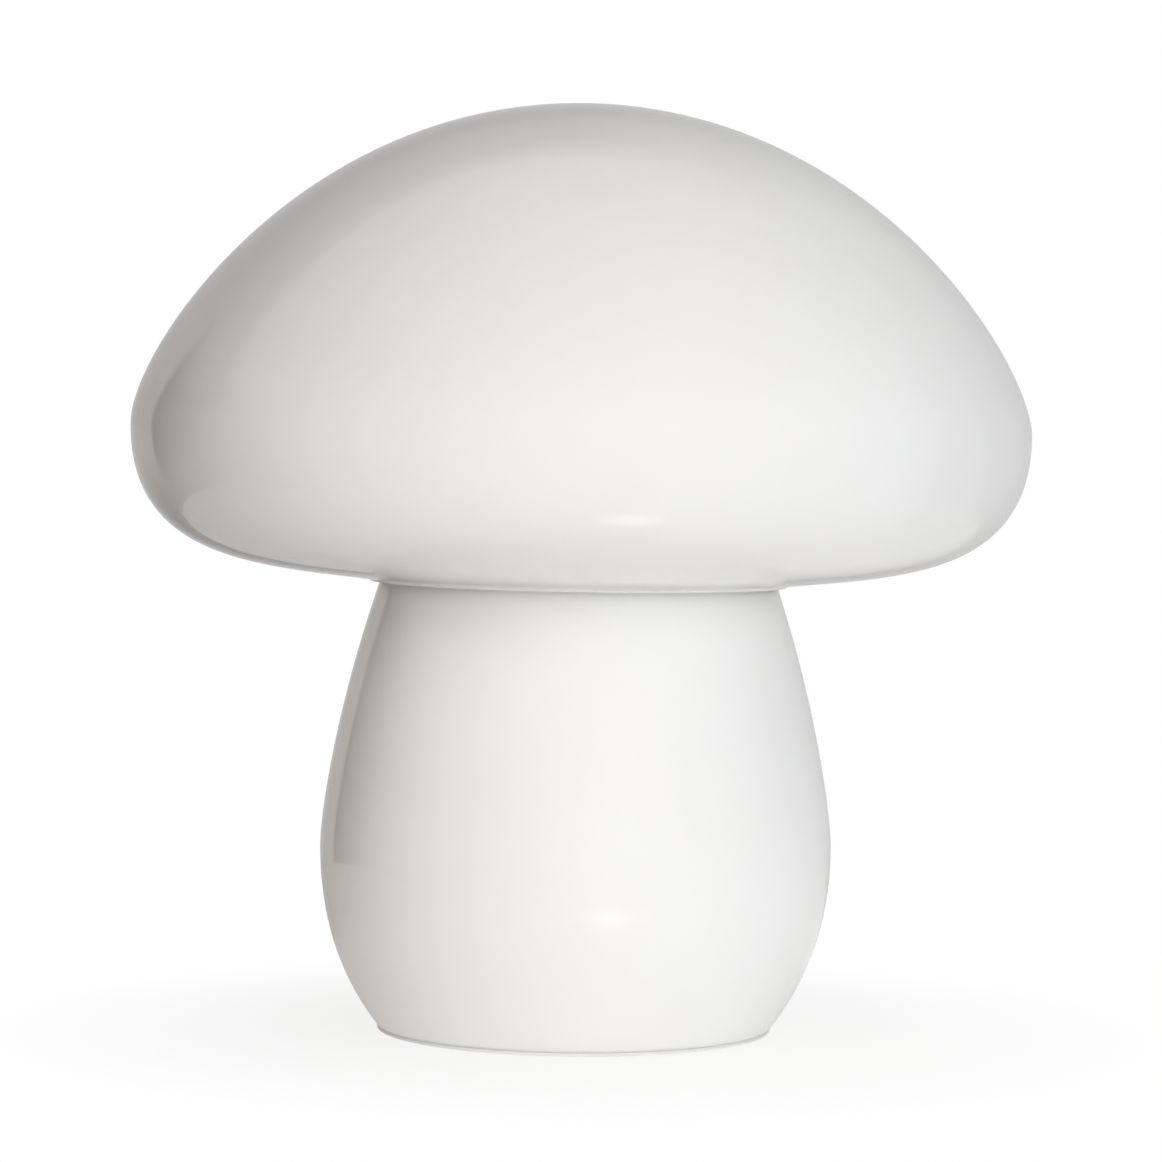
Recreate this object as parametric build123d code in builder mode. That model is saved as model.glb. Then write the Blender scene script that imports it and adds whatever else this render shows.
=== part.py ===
from build123d import *
from math import cos, pi, radians, sin, sqrt, tan
import os

# Mushroom table lamp: a blown opal glass cap that rests on the tapered neck of an opal glass stem.
# Millimetres, +Z up. The origin lies on the table under the lamp's axis, and the cord's side is +Y.

# ---- Cap ----
cap_radius = 150.0
cap_height = 159.5
cap_widest_above_lip = 51.0
cap_wall = 3.0
lip_height = 150.5
lip_slope = 9.2
# Bezier handles of the cap's outline, each as a share of its own span
crown_fullness = 0.63
shoulder_fullness = 0.23
cheek_fullness = 0.97
lip_fullness = 0.38

# ---- Stem ----
stem_wall = 3.0
foot_radius = 65.9
foot_slope = 38.0
belly_radius = 85.6
belly_height = 62.4
rim_radius = 61.6
rim_above_lip = 15.5
neck_length = 26.0
neck_taper = 17.4
# Bezier handles of the stem's outline, each as a share of its own span
foot_fullness = 0.21
hip_fullness = 0.53
waist_fullness = 0.14
neck_fullness = 0.46

# ---- Seat of the cap on the neck ----
seat_thickness = 0.9
seat_clearance = 0.3
seat_width = 6.0

# ---- Base ----
bumper_radius = 5.0
bumper_height = 0.6
bumper_count = 4
plate_thickness = 1.0
flange_width = 15.0
deck_rise = 10.5
deck_slope_width = 5.0
plate_bend_radius = 2.0
gasket_thickness = 0.3
gasket_width = 3.0
gasket_inset = 0.5

# ---- Cord gland ----
cord_hole_height = 17.0
cord_bore_radius = 3.25
gland_wall = 1.2
gland_flange_width = 1.8
gland_flange_thickness = 1.2
gland_clearance = 0.1
gland_gap = 0.5

# ---- Centre tube, its nuts and washers ----
tube_radius = 5.0
tube_bore_radius = 4.0
tube_below_plate = 6.5
thread_clearance = 0.05
nut_across_flats = 14.0
nut_height = 3.0
washer_radius = 9.0
washer_thickness = 1.0
slot_width = 6.0
slot_below_wires = 1.6
slot_above_wires = 8.0

# ---- Bridge across the neck ----
bridge_thickness = 1.6
bridge_drop = 36.0
bridge_arm_width = 14.0
bridge_arm_count = 3
bridge_hub_radius = 16.0
bridge_bend_radius = 3.0
pad_thickness = 1.5
pad_depth = 4.0
pad_lip = 1.5
pad_to_glass = 1.0
pad_clearance = 0.1

# ---- Lamp holder ----
holder_above_nut = 0.9
holder_radius = 20.2
holder_wall = 1.5
holder_cap_height = 21.0
holder_boss_radius = 8.5
holder_boss_height = 5.0
holder_dome_height = 7.0
holder_shell_height = 37.0
holder_mouth_radius = 14.6
holder_lip_thickness = 2.0
tube_into_holder = 13.0
insert_flange_thickness = 1.6
insert_height = 10.0
insert_clearance = 0.1
terminal_spacing = 14.0
terminal_radius = 1.6
contact_thickness = 0.6
contact_width = 6.0
contact_rise = 3.0
sleeve_wall = 0.5
sleeve_height = 22.0
grub_radius = 1.5
grub_length = 4.5

# ---- Bulb ----
bulb_length = 108.0
bulb_radius = 30.0
bulb_wall = 1.2
bulb_tip_clearance = 0.2
screw_radius = 13.0
screw_clearance = 0.4
screw_wall = 0.5
screw_chamfer = 1.0
screw_height = 22.0
tip_radius = 4.6
tip_height = 1.6
insulator_height = 4.0
diffuser_cut = 16.0
board_thickness = 1.6
driver_width = 18.0

# ---- Terminal block and wires ----
block_width = 21.0
block_depth = 16.0
block_height = 14.0
block_distance = 33.0
block_pitch = 10.0
block_insert_radius = 2.6
block_bore_radius = 1.5
block_insert_inset = 1.0
block_screw_radius = 1.4
block_screw_spacing = 8.0
block_clearance = 0.05
wire_radius = 1.1
wire_spacing = 3.2
wire_bend_radius = 12.0
wire_end_bend_radius = 6.0
wire_end_length = 4.0

# ---- Heights that follow from the sizes above ----
flange_bottom = bumper_height
flange_top = flange_bottom + plate_thickness
glass_foot_height = flange_top + gasket_thickness
deck_bottom = flange_bottom + deck_rise
deck_top = deck_bottom + plate_thickness
rim_height = lip_height + rim_above_lip
cap_top = lip_height + cap_height
cap_widest_height = lip_height + cap_widest_above_lip
neck_base_height = rim_height - neck_length
pad_bottom = rim_height + pad_clearance
arm_bottom = pad_bottom + pad_thickness
bridge_top = arm_bottom + bridge_thickness
hub_top = bridge_top - bridge_drop
hub_bottom = hub_top - bridge_thickness
bridge_nut_bottom = hub_top + washer_thickness
holder_bottom = bridge_nut_bottom + nut_height + holder_above_nut
holder_seam = holder_bottom + holder_cap_height
tube_bottom = deck_bottom - tube_below_plate
tube_top = holder_bottom + tube_into_holder
insert_top = holder_seam + insert_height
bulb_tip = insert_top + contact_rise + bulb_tip_clearance
wire_height = deck_top + block_height / 2


# ---- Small helpers ----
def save(piece, name):
    """Names a finished piece and writes its file."""
    piece.part.label = name
    export_step(piece.part, "parts/" + name + ".step")


def hex_nut(bottom):
    """A thin hexagon nut on the centre tube."""
    with BuildPart() as nut:
        with BuildSketch(Plane.XY.offset(bottom)):
            RegularPolygon(nut_across_flats / 2, 6, major_radius=False)
            Circle(tube_radius + thread_clearance, mode=Mode.SUBTRACT)
        extrude(amount=nut_height)
    return nut


def flat_washer(bottom):
    """A washer on the centre tube."""
    with BuildPart() as washer:
        with BuildSketch(Plane.XY.offset(bottom)):
            Circle(washer_radius)
            Circle(tube_radius + thread_clearance, mode=Mode.SUBTRACT)
        extrude(amount=washer_thickness)
    return washer


os.makedirs("parts", exist_ok=True)

# ---- Outline of the stem ----
taper = radians(neck_taper)
foot_lean = radians(foot_slope)


def neck_radius(height):
    """Outer radius of the straight tapered neck at a height."""
    return rim_radius + (rim_height - height) * tan(taper)


def foot_points(inset):
    """Control points from the ground foot up to the belly, moved in by inset."""
    foot = foot_radius - inset / cos(foot_lean)
    belly = belly_radius - inset
    rise = belly_height - glass_foot_height
    reach = foot_fullness * rise
    return [
        (foot, glass_foot_height),
        (foot + reach * sin(foot_lean), glass_foot_height + reach * cos(foot_lean)),
        (belly, belly_height - hip_fullness * rise),
        (belly, belly_height),
    ]


def shoulder_points(inset):
    """Control points from the belly up to the foot of the straight neck."""
    belly = belly_radius - inset
    neck = neck_radius(neck_base_height) - inset / cos(taper)
    rise = neck_base_height - belly_height
    reach = neck_fullness * rise
    return [
        (belly, belly_height),
        (belly, belly_height + waist_fullness * rise),
        (neck + reach * sin(taper), neck_base_height - reach * cos(taper)),
        (neck, neck_base_height),
    ]


# The rim is fire-polished to a half round, whose outer end lies on the neck's cone.
rim_end_height = rim_height - stem_wall / 2 * (1 - sin(taper))
rim_outer = (neck_radius(rim_end_height), rim_end_height)
rim_inner = (rim_outer[0] - stem_wall * cos(taper), rim_outer[1] - stem_wall * sin(taper))
rim_middle = ((rim_outer[0] + rim_inner[0]) / 2, (rim_outer[1] + rim_inner[1]) / 2)
rim_crest = (rim_middle[0] - stem_wall / 2 * sin(taper), rim_middle[1] + stem_wall / 2 * cos(taper))

# ---- Place of the cord hole, square to the stem's wall ----
foot_curve = Bezier(*foot_points(stem_wall / 2))
halvings = 40
low, high = 0.0, 1.0
for _ in range(halvings):
    middle = (low + high) / 2
    if foot_curve.position_at(middle).Y < cord_hole_height:
        low = middle
    else:
        high = middle
hole_point = foot_curve.position_at(low)
hole_tangent = foot_curve.tangent_at(low)
cord_plane = Plane(
    origin=(0, hole_point.X, hole_point.Y),
    x_dir=(1, 0, 0),
    z_dir=(0, hole_tangent.Y, -hole_tangent.X),
)
gland_radius = cord_bore_radius + gland_wall
cord_hole_radius = gland_radius + gland_clearance

# ---- Stem glass ----
with BuildPart() as stem_glass:
    with BuildSketch(Plane.XZ):
        with BuildLine():
            Bezier(*foot_points(0))
            Bezier(*shoulder_points(0))
            Line(shoulder_points(0)[-1], rim_outer)
            ThreePointArc(rim_outer, rim_crest, rim_inner)
            Line(rim_inner, shoulder_points(stem_wall)[-1])
            Bezier(*shoulder_points(stem_wall))
            Bezier(*foot_points(stem_wall))
            Line(foot_points(stem_wall)[0], foot_points(0)[0])
        make_face()
    revolve(axis=Axis.Z)
    with BuildSketch(cord_plane):
        Circle(cord_hole_radius)
    extrude(amount=2 * stem_wall, both=True, mode=Mode.SUBTRACT)
save(stem_glass, "stem_glass")

# ---- Outline of the cap ----
droop = radians(lip_slope)
lip_round = cap_wall / 2
lip_centre_height = lip_height + lip_round
seat_gap = seat_thickness + 2 * seat_clearance
lip_centre_radius = neck_radius(lip_centre_height) + (seat_gap + lip_round) / cos(taper)


def lip_end(inset):
    """Where the wall's outer or inner outline meets the rounded lip."""
    offset_in = inset - lip_round
    return (
        lip_centre_radius - offset_in * sin(droop),
        lip_centre_height + offset_in * cos(droop),
    )


def crown_points(inset):
    """Control points from the crown to the widest ring, moved in by inset."""
    radius = cap_radius - inset
    top = cap_top - inset
    return [
        (0, top),
        (crown_fullness * radius, top),
        (radius, cap_widest_height + shoulder_fullness * (top - cap_widest_height)),
        (radius, cap_widest_height),
    ]


def cheek_points(inset):
    """Control points from the widest ring under to the lip."""
    radius = cap_radius - inset
    end = lip_end(inset)
    fall = cap_widest_height - lip_height - inset
    reach = lip_fullness * (radius - end[0])
    return [
        (radius, cap_widest_height),
        (radius, cap_widest_height - cheek_fullness * fall),
        (end[0] + reach * cos(droop), end[1] + reach * sin(droop)),
        end,
    ]


lip_tip = (lip_centre_radius - lip_round * cos(droop), lip_centre_height - lip_round * sin(droop))

# ---- Cap glass ----
with BuildPart() as cap_glass:
    with BuildSketch(Plane.XZ):
        with BuildLine():
            Bezier(*crown_points(0))
            Bezier(*cheek_points(0))
            ThreePointArc(lip_end(0), lip_tip, lip_end(cap_wall))
            Bezier(*cheek_points(cap_wall))
            Bezier(*crown_points(cap_wall))
            Line(crown_points(cap_wall)[0], crown_points(0)[0])
        make_face()
    revolve(axis=Axis.Z)
save(cap_glass, "cap_glass")

# ---- Seat ring, a soft band on the neck's taper that the lip rests against ----
seat_bottom = lip_centre_height - seat_thickness
seat_top = seat_bottom + seat_width
seat_in = seat_clearance / cos(taper)
seat_out = (seat_clearance + seat_thickness) / cos(taper)
with BuildPart() as cap_seat_ring:
    with BuildSketch(Plane.XZ):
        with BuildLine():
            Polyline(
                (neck_radius(seat_bottom) + seat_in, seat_bottom),
                (neck_radius(seat_bottom) + seat_out, seat_bottom),
                (neck_radius(seat_top) + seat_out, seat_top),
                (neck_radius(seat_top) + seat_in, seat_top),
                close=True,
            )
        make_face()
    revolve(axis=Axis.Z)
save(cap_seat_ring, "cap_seat_ring")

# ---- Base plate, a shallow pressed pan: flange under the glass and a raised deck in the middle ----
deck_radius = foot_radius - flange_width - deck_slope_width
flange_inner_radius = foot_radius - flange_width
bend_outside = plate_bend_radius + plate_thickness
with BuildPart() as base_plate:
    with BuildSketch(Plane.XZ):
        with BuildLine():
            FilletPolyline(
                (foot_radius, flange_bottom),
                (flange_inner_radius, flange_bottom),
                (deck_radius, deck_bottom),
                (tube_radius + thread_clearance, deck_bottom),
                radius=[bend_outside, plate_bend_radius],
            )
            Line((tube_radius + thread_clearance, deck_bottom), (tube_radius + thread_clearance, deck_top))
            FilletPolyline(
                (tube_radius + thread_clearance, deck_top),
                (deck_radius + plate_thickness / 2, deck_top),
                (flange_inner_radius + plate_thickness / 2, flange_top),
                (foot_radius, flange_top),
                radius=[bend_outside, plate_bend_radius],
            )
            Line((foot_radius, flange_top), (foot_radius, flange_bottom))
        make_face()
    revolve(axis=Axis.Z)
    with BuildSketch(Plane.XY.offset(deck_bottom)):
        with Locations((0, block_distance)):
            Circle(block_screw_radius + block_clearance)
    extrude(amount=plate_thickness, mode=Mode.SUBTRACT)
save(base_plate, "base_plate")

# ---- Gasket between the flange and the ground foot of the glass ----
gasket_radius = foot_radius - gasket_inset
with BuildPart() as foot_gasket:
    with BuildSketch(Plane.XY.offset(flange_top)):
        Circle(gasket_radius)
        Circle(gasket_radius - gasket_width, mode=Mode.SUBTRACT)
    extrude(amount=gasket_thickness)
save(foot_gasket, "foot_gasket")

# ---- Bumpers under the flange ----
with BuildPart() as base_bumpers:
    with BuildSketch(Plane.XY):
        with PolarLocations(foot_radius - flange_width / 2, bumper_count, start_angle=180 / bumper_count):
            Circle(bumper_radius)
    extrude(amount=bumper_height)
save(base_bumpers, "base_bumpers")

# ---- Cord gland, a flanged bush in the drilled hole ----
gland_half = stem_wall / 2 + gland_gap
with BuildPart() as cord_gland:
    with BuildSketch(cord_plane):
        Circle(gland_radius)
    extrude(amount=gland_half, both=True)
    for start in (gland_half, -gland_half - gland_flange_thickness):
        with BuildSketch(cord_plane.offset(start)):
            Circle(gland_radius + gland_flange_width)
        extrude(amount=gland_flange_thickness)
    with BuildSketch(cord_plane):
        Circle(cord_bore_radius)
    extrude(amount=gland_half + gland_flange_thickness, both=True, mode=Mode.SUBTRACT)
save(cord_gland, "cord_gland")

# ---- Centre tube with a side slot that lets the wires in ----
slot_bottom = wire_height - slot_below_wires
slot_top = wire_height + slot_above_wires
with BuildPart() as centre_tube:
    with BuildSketch(Plane.XY.offset(tube_bottom)):
        Circle(tube_radius)
        Circle(tube_bore_radius, mode=Mode.SUBTRACT)
    extrude(amount=tube_top - tube_bottom)
    with BuildSketch(Plane.XY.offset(slot_bottom)):
        with Locations((0, tube_radius)):
            Rectangle(slot_width, 2 * (tube_radius - tube_bore_radius) + tube_bore_radius)
    extrude(amount=slot_top - slot_bottom, mode=Mode.SUBTRACT)
save(centre_tube, "centre_tube")

plate_washer = flat_washer(deck_bottom - washer_thickness)
save(plate_washer, "plate_washer")
plate_lower_nut = hex_nut(deck_bottom - washer_thickness - nut_height)
save(plate_lower_nut, "plate_lower_nut")
plate_upper_nut = hex_nut(deck_top)
save(plate_upper_nut, "plate_upper_nut")
bridge_washer = flat_washer(hub_top)
save(bridge_washer, "bridge_washer")
bridge_nut = hex_nut(bridge_nut_bottom)
save(bridge_nut, "bridge_nut")

# ---- Bridge, a pressed spider whose arms hang over the stem's rim ----
arm_root = bridge_hub_radius / 2
leg_outer = rim_inner[0] - pad_to_glass - pad_lip
leg_inner = leg_outer - bridge_thickness
arm_end = rim_outer[0]
inner_bend = bridge_bend_radius
outer_bend = bridge_bend_radius + bridge_thickness
with BuildPart() as bridge_arm:
    with BuildSketch(Plane.XZ):
        with BuildLine():
            FilletPolyline(
                (arm_root, hub_bottom),
                (leg_outer, hub_bottom),
                (leg_outer, arm_bottom),
                (arm_end, arm_bottom),
                radius=[outer_bend, inner_bend],
            )
            Line((arm_end, arm_bottom), (arm_end, bridge_top))
            FilletPolyline(
                (arm_end, bridge_top),
                (leg_inner, bridge_top),
                (leg_inner, hub_top),
                (arm_root, hub_top),
                radius=[outer_bend, inner_bend],
            )
            Line((arm_root, hub_top), (arm_root, hub_bottom))
        make_face()
    extrude(amount=bridge_arm_width / 2, both=True)
with BuildPart() as neck_bridge:
    with BuildSketch(Plane.XY.offset(hub_bottom)):
        Circle(bridge_hub_radius)
    extrude(amount=bridge_thickness)
    with PolarLocations(0, bridge_arm_count, start_angle=90):
        add(bridge_arm.part)
    with BuildSketch(Plane.XY.offset(hub_bottom)):
        Circle(tube_radius + thread_clearance)
    extrude(amount=bridge_thickness, mode=Mode.SUBTRACT)
save(neck_bridge, "neck_bridge")

# ---- Pads, soft caps between the arms and the glass rim ----
with BuildPart() as bridge_pad:
    with BuildSketch(Plane.XZ):
        with BuildLine():
            Polyline(
                (leg_outer, arm_bottom),
                (arm_end, arm_bottom),
                (arm_end, pad_bottom),
                (leg_outer + pad_lip, pad_bottom),
                (leg_outer + pad_lip, rim_height - pad_depth),
                (leg_outer, rim_height - pad_depth),
                close=True,
            )
        make_face()
    extrude(amount=bridge_arm_width / 2, both=True)
with BuildPart() as bridge_pads:
    with PolarLocations(0, bridge_arm_count, start_angle=90):
        add(bridge_pad.part)
    add(neck_bridge.part, mode=Mode.SUBTRACT)
save(bridge_pads, "bridge_pads")

# ---- Lamp holder: a domed cap screwed on the tube, an insert with the contacts, and a shell ----
dome_top = holder_bottom + holder_boss_height + holder_dome_height
cap_inside = holder_radius - holder_wall
bore = tube_radius + thread_clearance
with BuildPart() as holder_cap:
    with BuildSketch(Plane.XZ):
        with BuildLine():
            Polyline(
                (bore, holder_bottom),
                (holder_boss_radius, holder_bottom),
                (holder_boss_radius, holder_bottom + holder_boss_height),
                (holder_radius, dome_top),
                (holder_radius, holder_seam),
                (cap_inside, holder_seam),
                (cap_inside, dome_top + holder_wall / 2),
                (holder_boss_radius - holder_wall, holder_bottom + holder_boss_height + holder_wall),
                (bore, holder_bottom + holder_boss_height + holder_wall),
                close=True,
            )
        make_face()
    revolve(axis=Axis.Z)
    with BuildSketch(Plane.XZ):
        with Locations((0, holder_bottom + holder_boss_height / 2)):
            Circle(grub_radius + thread_clearance)
    extrude(amount=holder_boss_radius, mode=Mode.SUBTRACT)
    fillet(holder_cap.edges().filter_by(GeomType.CIRCLE).group_by(Axis.Z)[-3][-1:], holder_wall)
save(holder_cap, "holder_cap")

with BuildPart() as holder_grub_screw:
    with BuildSketch(Plane.XZ.offset(tube_radius)):
        with Locations((0, holder_bottom + holder_boss_height / 2)):
            Circle(grub_radius)
    extrude(amount=grub_length)
save(holder_grub_screw, "holder_grub_screw")

insert_flange_radius = cap_inside + holder_wall / 2
insert_flange_top = holder_seam + insert_flange_thickness
shell_top = holder_seam + holder_shell_height
insert_radius = holder_radius - 2 * holder_wall - insert_clearance
terminals = [(-terminal_spacing / 2, 0), (terminal_spacing / 2, 0)]
with BuildPart() as holder_insert:
    with BuildSketch(Plane.XY.offset(holder_seam)):
        Circle(insert_flange_radius)
    extrude(amount=insert_flange_thickness)
    with BuildSketch(Plane.XY.offset(insert_flange_top)):
        Circle(insert_radius)
    extrude(amount=insert_height - insert_flange_thickness)
    with BuildSketch(Plane.XY.offset(holder_seam)):
        with Locations(*terminals):
            Circle(terminal_radius)
    extrude(amount=insert_height, mode=Mode.SUBTRACT)
save(holder_insert, "holder_insert")

shell_ledge_top = insert_flange_top + insert_clearance
with BuildPart() as holder_shell:
    with BuildSketch(Plane.XZ):
        with BuildLine():
            Polyline(
                (insert_flange_radius + insert_clearance, holder_seam),
                (holder_radius, holder_seam),
                (holder_radius, shell_top),
                (holder_mouth_radius, shell_top),
                (holder_mouth_radius, shell_top - holder_lip_thickness),
                (holder_radius - holder_wall, shell_top - holder_lip_thickness),
                (holder_radius - holder_wall, shell_top - 2 * holder_lip_thickness),
                (holder_radius - 2 * holder_wall, shell_top - 3 * holder_lip_thickness),
                (holder_radius - 2 * holder_wall, shell_ledge_top),
                (insert_flange_radius + insert_clearance, shell_ledge_top),
                close=True,
            )
        make_face()
    revolve(axis=Axis.Z)
    fillet(holder_shell.edges().filter_by(GeomType.CIRCLE).group_by(Axis.Z)[-1], holder_lip_thickness / 3)
save(holder_shell, "holder_shell")

# ---- Contacts of the holder ----
sleeve_inner_radius = screw_radius + screw_clearance
sleeve_outer_radius = sleeve_inner_radius + sleeve_wall
contact_top = insert_top + contact_thickness
with BuildPart() as holder_side_contact:
    with BuildSketch(Plane.XY.offset(insert_top)):
        with Locations(((terminal_spacing / 2 + sleeve_outer_radius) / 2, 0)):
            Rectangle(sleeve_outer_radius - terminal_spacing / 2, contact_width)
    extrude(amount=contact_thickness)
save(holder_side_contact, "holder_side_contact")

with BuildPart() as holder_thread_sleeve:
    with BuildSketch(Plane.XY.offset(contact_top)):
        Circle(sleeve_outer_radius)
        Circle(sleeve_inner_radius, mode=Mode.SUBTRACT)
    extrude(amount=sleeve_height)
save(holder_thread_sleeve, "holder_thread_sleeve")

# The centre contact is a leaf spring that rises from its terminal to the middle of the seat.
with BuildPart() as holder_centre_contact:
    with BuildSketch(Plane.XZ):
        with BuildLine():
            Polyline(
                (-terminal_spacing / 2 - terminal_radius, insert_top),
                (-terminal_spacing / 4, insert_top),
                (0, insert_top + contact_rise - contact_thickness),
                (terminal_radius, insert_top + contact_rise - contact_thickness),
                (terminal_radius, insert_top + contact_rise),
                (-terminal_radius / 4, insert_top + contact_rise),
                (-terminal_spacing / 4 - terminal_radius / 4, contact_top),
                (-terminal_spacing / 2 - terminal_radius, contact_top),
                close=True,
            )
        make_face()
    extrude(amount=contact_width / 2, both=True)
save(holder_centre_contact, "holder_centre_contact")

# Each terminal is a brass bush under its contact, and its screw clamps the wire's end.
bush_bottom = holder_seam + wire_end_length + block_clearance
with BuildPart() as holder_terminals:
    with BuildSketch(Plane.XY.offset(bush_bottom)):
        with Locations(*terminals):
            Circle(terminal_radius - block_clearance)
    extrude(amount=insert_top - bush_bottom)
save(holder_terminals, "holder_terminals")

# ---- Bulb ----
bulb_top = bulb_tip + bulb_length
insulator_bottom = bulb_tip + tip_height
screw_bottom = insulator_bottom + insulator_height - screw_wall
screw_top = screw_bottom + screw_height
screw_inside = screw_radius - screw_wall
globe_centre = bulb_top - bulb_radius
diffuser_bottom = globe_centre - diffuser_cut
diffuser_rim = sqrt(bulb_radius**2 - diffuser_cut**2)
globe_inside = bulb_radius - bulb_wall
diffuser_rim_inside = sqrt(globe_inside**2 - diffuser_cut**2)
with BuildPart() as bulb_tip_contact:
    with BuildSketch(Plane.XY.offset(bulb_tip)):
        Circle(tip_radius)
    extrude(amount=tip_height)
    fillet(bulb_tip_contact.faces().sort_by(Axis.Z)[0].edges(), tip_height / 2)
save(bulb_tip_contact, "bulb_tip_contact")

with BuildPart() as bulb_insulator:
    with BuildSketch(Plane.XZ):
        with BuildLine():
            Polyline(
                (0, insulator_bottom),
                (tip_radius, insulator_bottom),
                (screw_inside - screw_chamfer, screw_bottom),
                (screw_inside - screw_chamfer, screw_bottom + screw_wall),
                (0, screw_bottom + screw_wall),
                close=True,
            )
        make_face()
    revolve(axis=Axis.Z)
save(bulb_insulator, "bulb_insulator")

with BuildPart() as bulb_screw_shell:
    with BuildSketch(Plane.XZ):
        with BuildLine():
            Polyline(
                (screw_inside - screw_chamfer, screw_bottom),
                (screw_radius - screw_chamfer, screw_bottom),
                (screw_radius, screw_bottom + screw_chamfer),
                (screw_radius, screw_top),
                (screw_inside, screw_top),
                (screw_inside, screw_bottom + screw_wall + screw_chamfer),
                (screw_inside - screw_chamfer, screw_bottom + screw_wall),
                close=True,
            )
        make_face()
    revolve(axis=Axis.Z)
save(bulb_screw_shell, "bulb_screw_shell")

board_top = diffuser_bottom
board_bottom = board_top - board_thickness
collar_bottom = screw_top - screw_height / 4
collar_radius = screw_inside - block_clearance
housing_inside = collar_radius - bulb_wall
seat_radius = diffuser_rim_inside - bulb_wall
with BuildPart() as bulb_housing:
    with BuildSketch(Plane.XZ):
        with BuildLine():
            Line((collar_radius, collar_bottom), (collar_radius, screw_top))
            Line((collar_radius, screw_top), (screw_radius, screw_top))
            Bezier(
                (screw_radius, screw_top),
                (screw_radius + bulb_wall, (screw_top + diffuser_bottom) / 2),
                (diffuser_rim - diffuser_cut / 3, diffuser_bottom - bulb_radius / 3),
                (diffuser_rim, diffuser_bottom),
            )
            Line((diffuser_rim, diffuser_bottom), (seat_radius, diffuser_bottom))
            Line((seat_radius, diffuser_bottom), (seat_radius, board_bottom))
            Line((seat_radius, board_bottom), (seat_radius - 2 * bulb_wall, board_bottom))
            Bezier(
                (seat_radius - 2 * bulb_wall, board_bottom),
                (seat_radius - diffuser_cut / 2, diffuser_bottom - bulb_radius / 3),
                (housing_inside, (screw_top + diffuser_bottom) / 2),
                (housing_inside, screw_top),
            )
            Line((housing_inside, screw_top), (housing_inside, collar_bottom))
            Line((housing_inside, collar_bottom), (collar_radius, collar_bottom))
        make_face()
    revolve(axis=Axis.Z)
save(bulb_housing, "bulb_housing")

with BuildPart() as bulb_led_board:
    with BuildSketch(Plane.XY.offset(board_bottom)):
        Circle(seat_radius - block_clearance)
    extrude(amount=board_thickness)
save(bulb_led_board, "bulb_led_board")

with BuildPart() as bulb_driver_board:
    with BuildSketch(Plane.XY.offset(collar_bottom)):
        Rectangle(driver_width, board_thickness)
    extrude(amount=board_bottom - collar_bottom)
save(bulb_driver_board, "bulb_driver_board")

with BuildPart() as bulb_diffuser:
    with BuildSketch(Plane.XZ):
        with BuildLine():
            side = sqrt(0.5)
            ThreePointArc(
                (diffuser_rim, diffuser_bottom),
                (bulb_radius * side, globe_centre + bulb_radius * side),
                (0, bulb_top),
            )
            Line((0, bulb_top), (0, bulb_top - bulb_wall))
            ThreePointArc(
                (0, bulb_top - bulb_wall),
                (globe_inside * side, globe_centre + globe_inside * side),
                (diffuser_rim_inside, diffuser_bottom),
            )
            Line((diffuser_rim_inside, diffuser_bottom), (diffuser_rim, diffuser_bottom))
        make_face()
    revolve(axis=Axis.Z)
save(bulb_diffuser, "bulb_diffuser")

# ---- Terminal block on the deck ----
block_middle = deck_top + block_height / 2
block_inserts = [(-block_pitch / 2, block_middle), (block_pitch / 2, block_middle)]
block_screw_places = [
    (x, block_distance + y)
    for x in (-block_pitch / 2, block_pitch / 2)
    for y in (-block_screw_spacing / 2, block_screw_spacing / 2)
]
block_back = Plane.XZ.offset(-(block_distance + block_depth / 2))
insert_back = Plane.XZ.offset(-(block_distance + block_depth / 2 - block_insert_inset))
with BuildPart() as terminal_block:
    with BuildSketch(Plane.XY.offset(deck_top)):
        with Locations((0, block_distance)):
            RectangleRounded(block_width, block_depth, block_depth / 8)
    extrude(amount=block_height)
    with BuildSketch(block_back):
        with Locations(*block_inserts):
            Circle(block_insert_radius + block_clearance)
    extrude(amount=block_depth, mode=Mode.SUBTRACT)
    with BuildSketch(Plane.XY.offset(block_middle)):
        with Locations(*block_screw_places):
            Circle(block_screw_radius + 3 * block_clearance)
    extrude(amount=block_height, mode=Mode.SUBTRACT)
    with BuildSketch(Plane.XY.offset(deck_top)):
        with Locations((0, block_distance)):
            Circle(block_screw_radius + block_clearance)
    extrude(amount=block_height, mode=Mode.SUBTRACT)
save(terminal_block, "terminal_block")

with BuildPart() as block_inserts_brass:
    with BuildSketch(insert_back):
        with Locations(*block_inserts):
            Circle(block_insert_radius)
            Circle(block_bore_radius, mode=Mode.SUBTRACT)
    extrude(amount=block_depth - 2 * block_insert_inset)
    with BuildSketch(Plane.XY.offset(block_middle)):
        with Locations(*block_screw_places):
            Circle(block_screw_radius + block_clearance)
    extrude(amount=block_height, mode=Mode.SUBTRACT)
save(block_inserts_brass, "block_inserts")

with BuildPart() as block_screws:
    with BuildSketch(Plane.XY.offset(block_middle + wire_radius)):
        with Locations(*block_screw_places):
            Circle(block_screw_radius)
    extrude(amount=block_height / 2 - wire_radius - block_insert_inset)
save(block_screws, "block_screws")

with BuildPart() as block_fixing_screw:
    with BuildSketch(Plane.XY.offset(deck_bottom - plate_thickness)):
        with Locations((0, block_distance)):
            Circle(block_screw_radius)
    extrude(amount=deck_top + block_height - deck_bottom + plate_thickness)
    with BuildSketch(Plane.XY.offset(deck_top + block_height)):
        with Locations((0, block_distance)):
            Circle(2 * block_screw_radius)
    extrude(amount=block_screw_radius)
save(block_fixing_screw, "block_fixing_screw")

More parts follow.
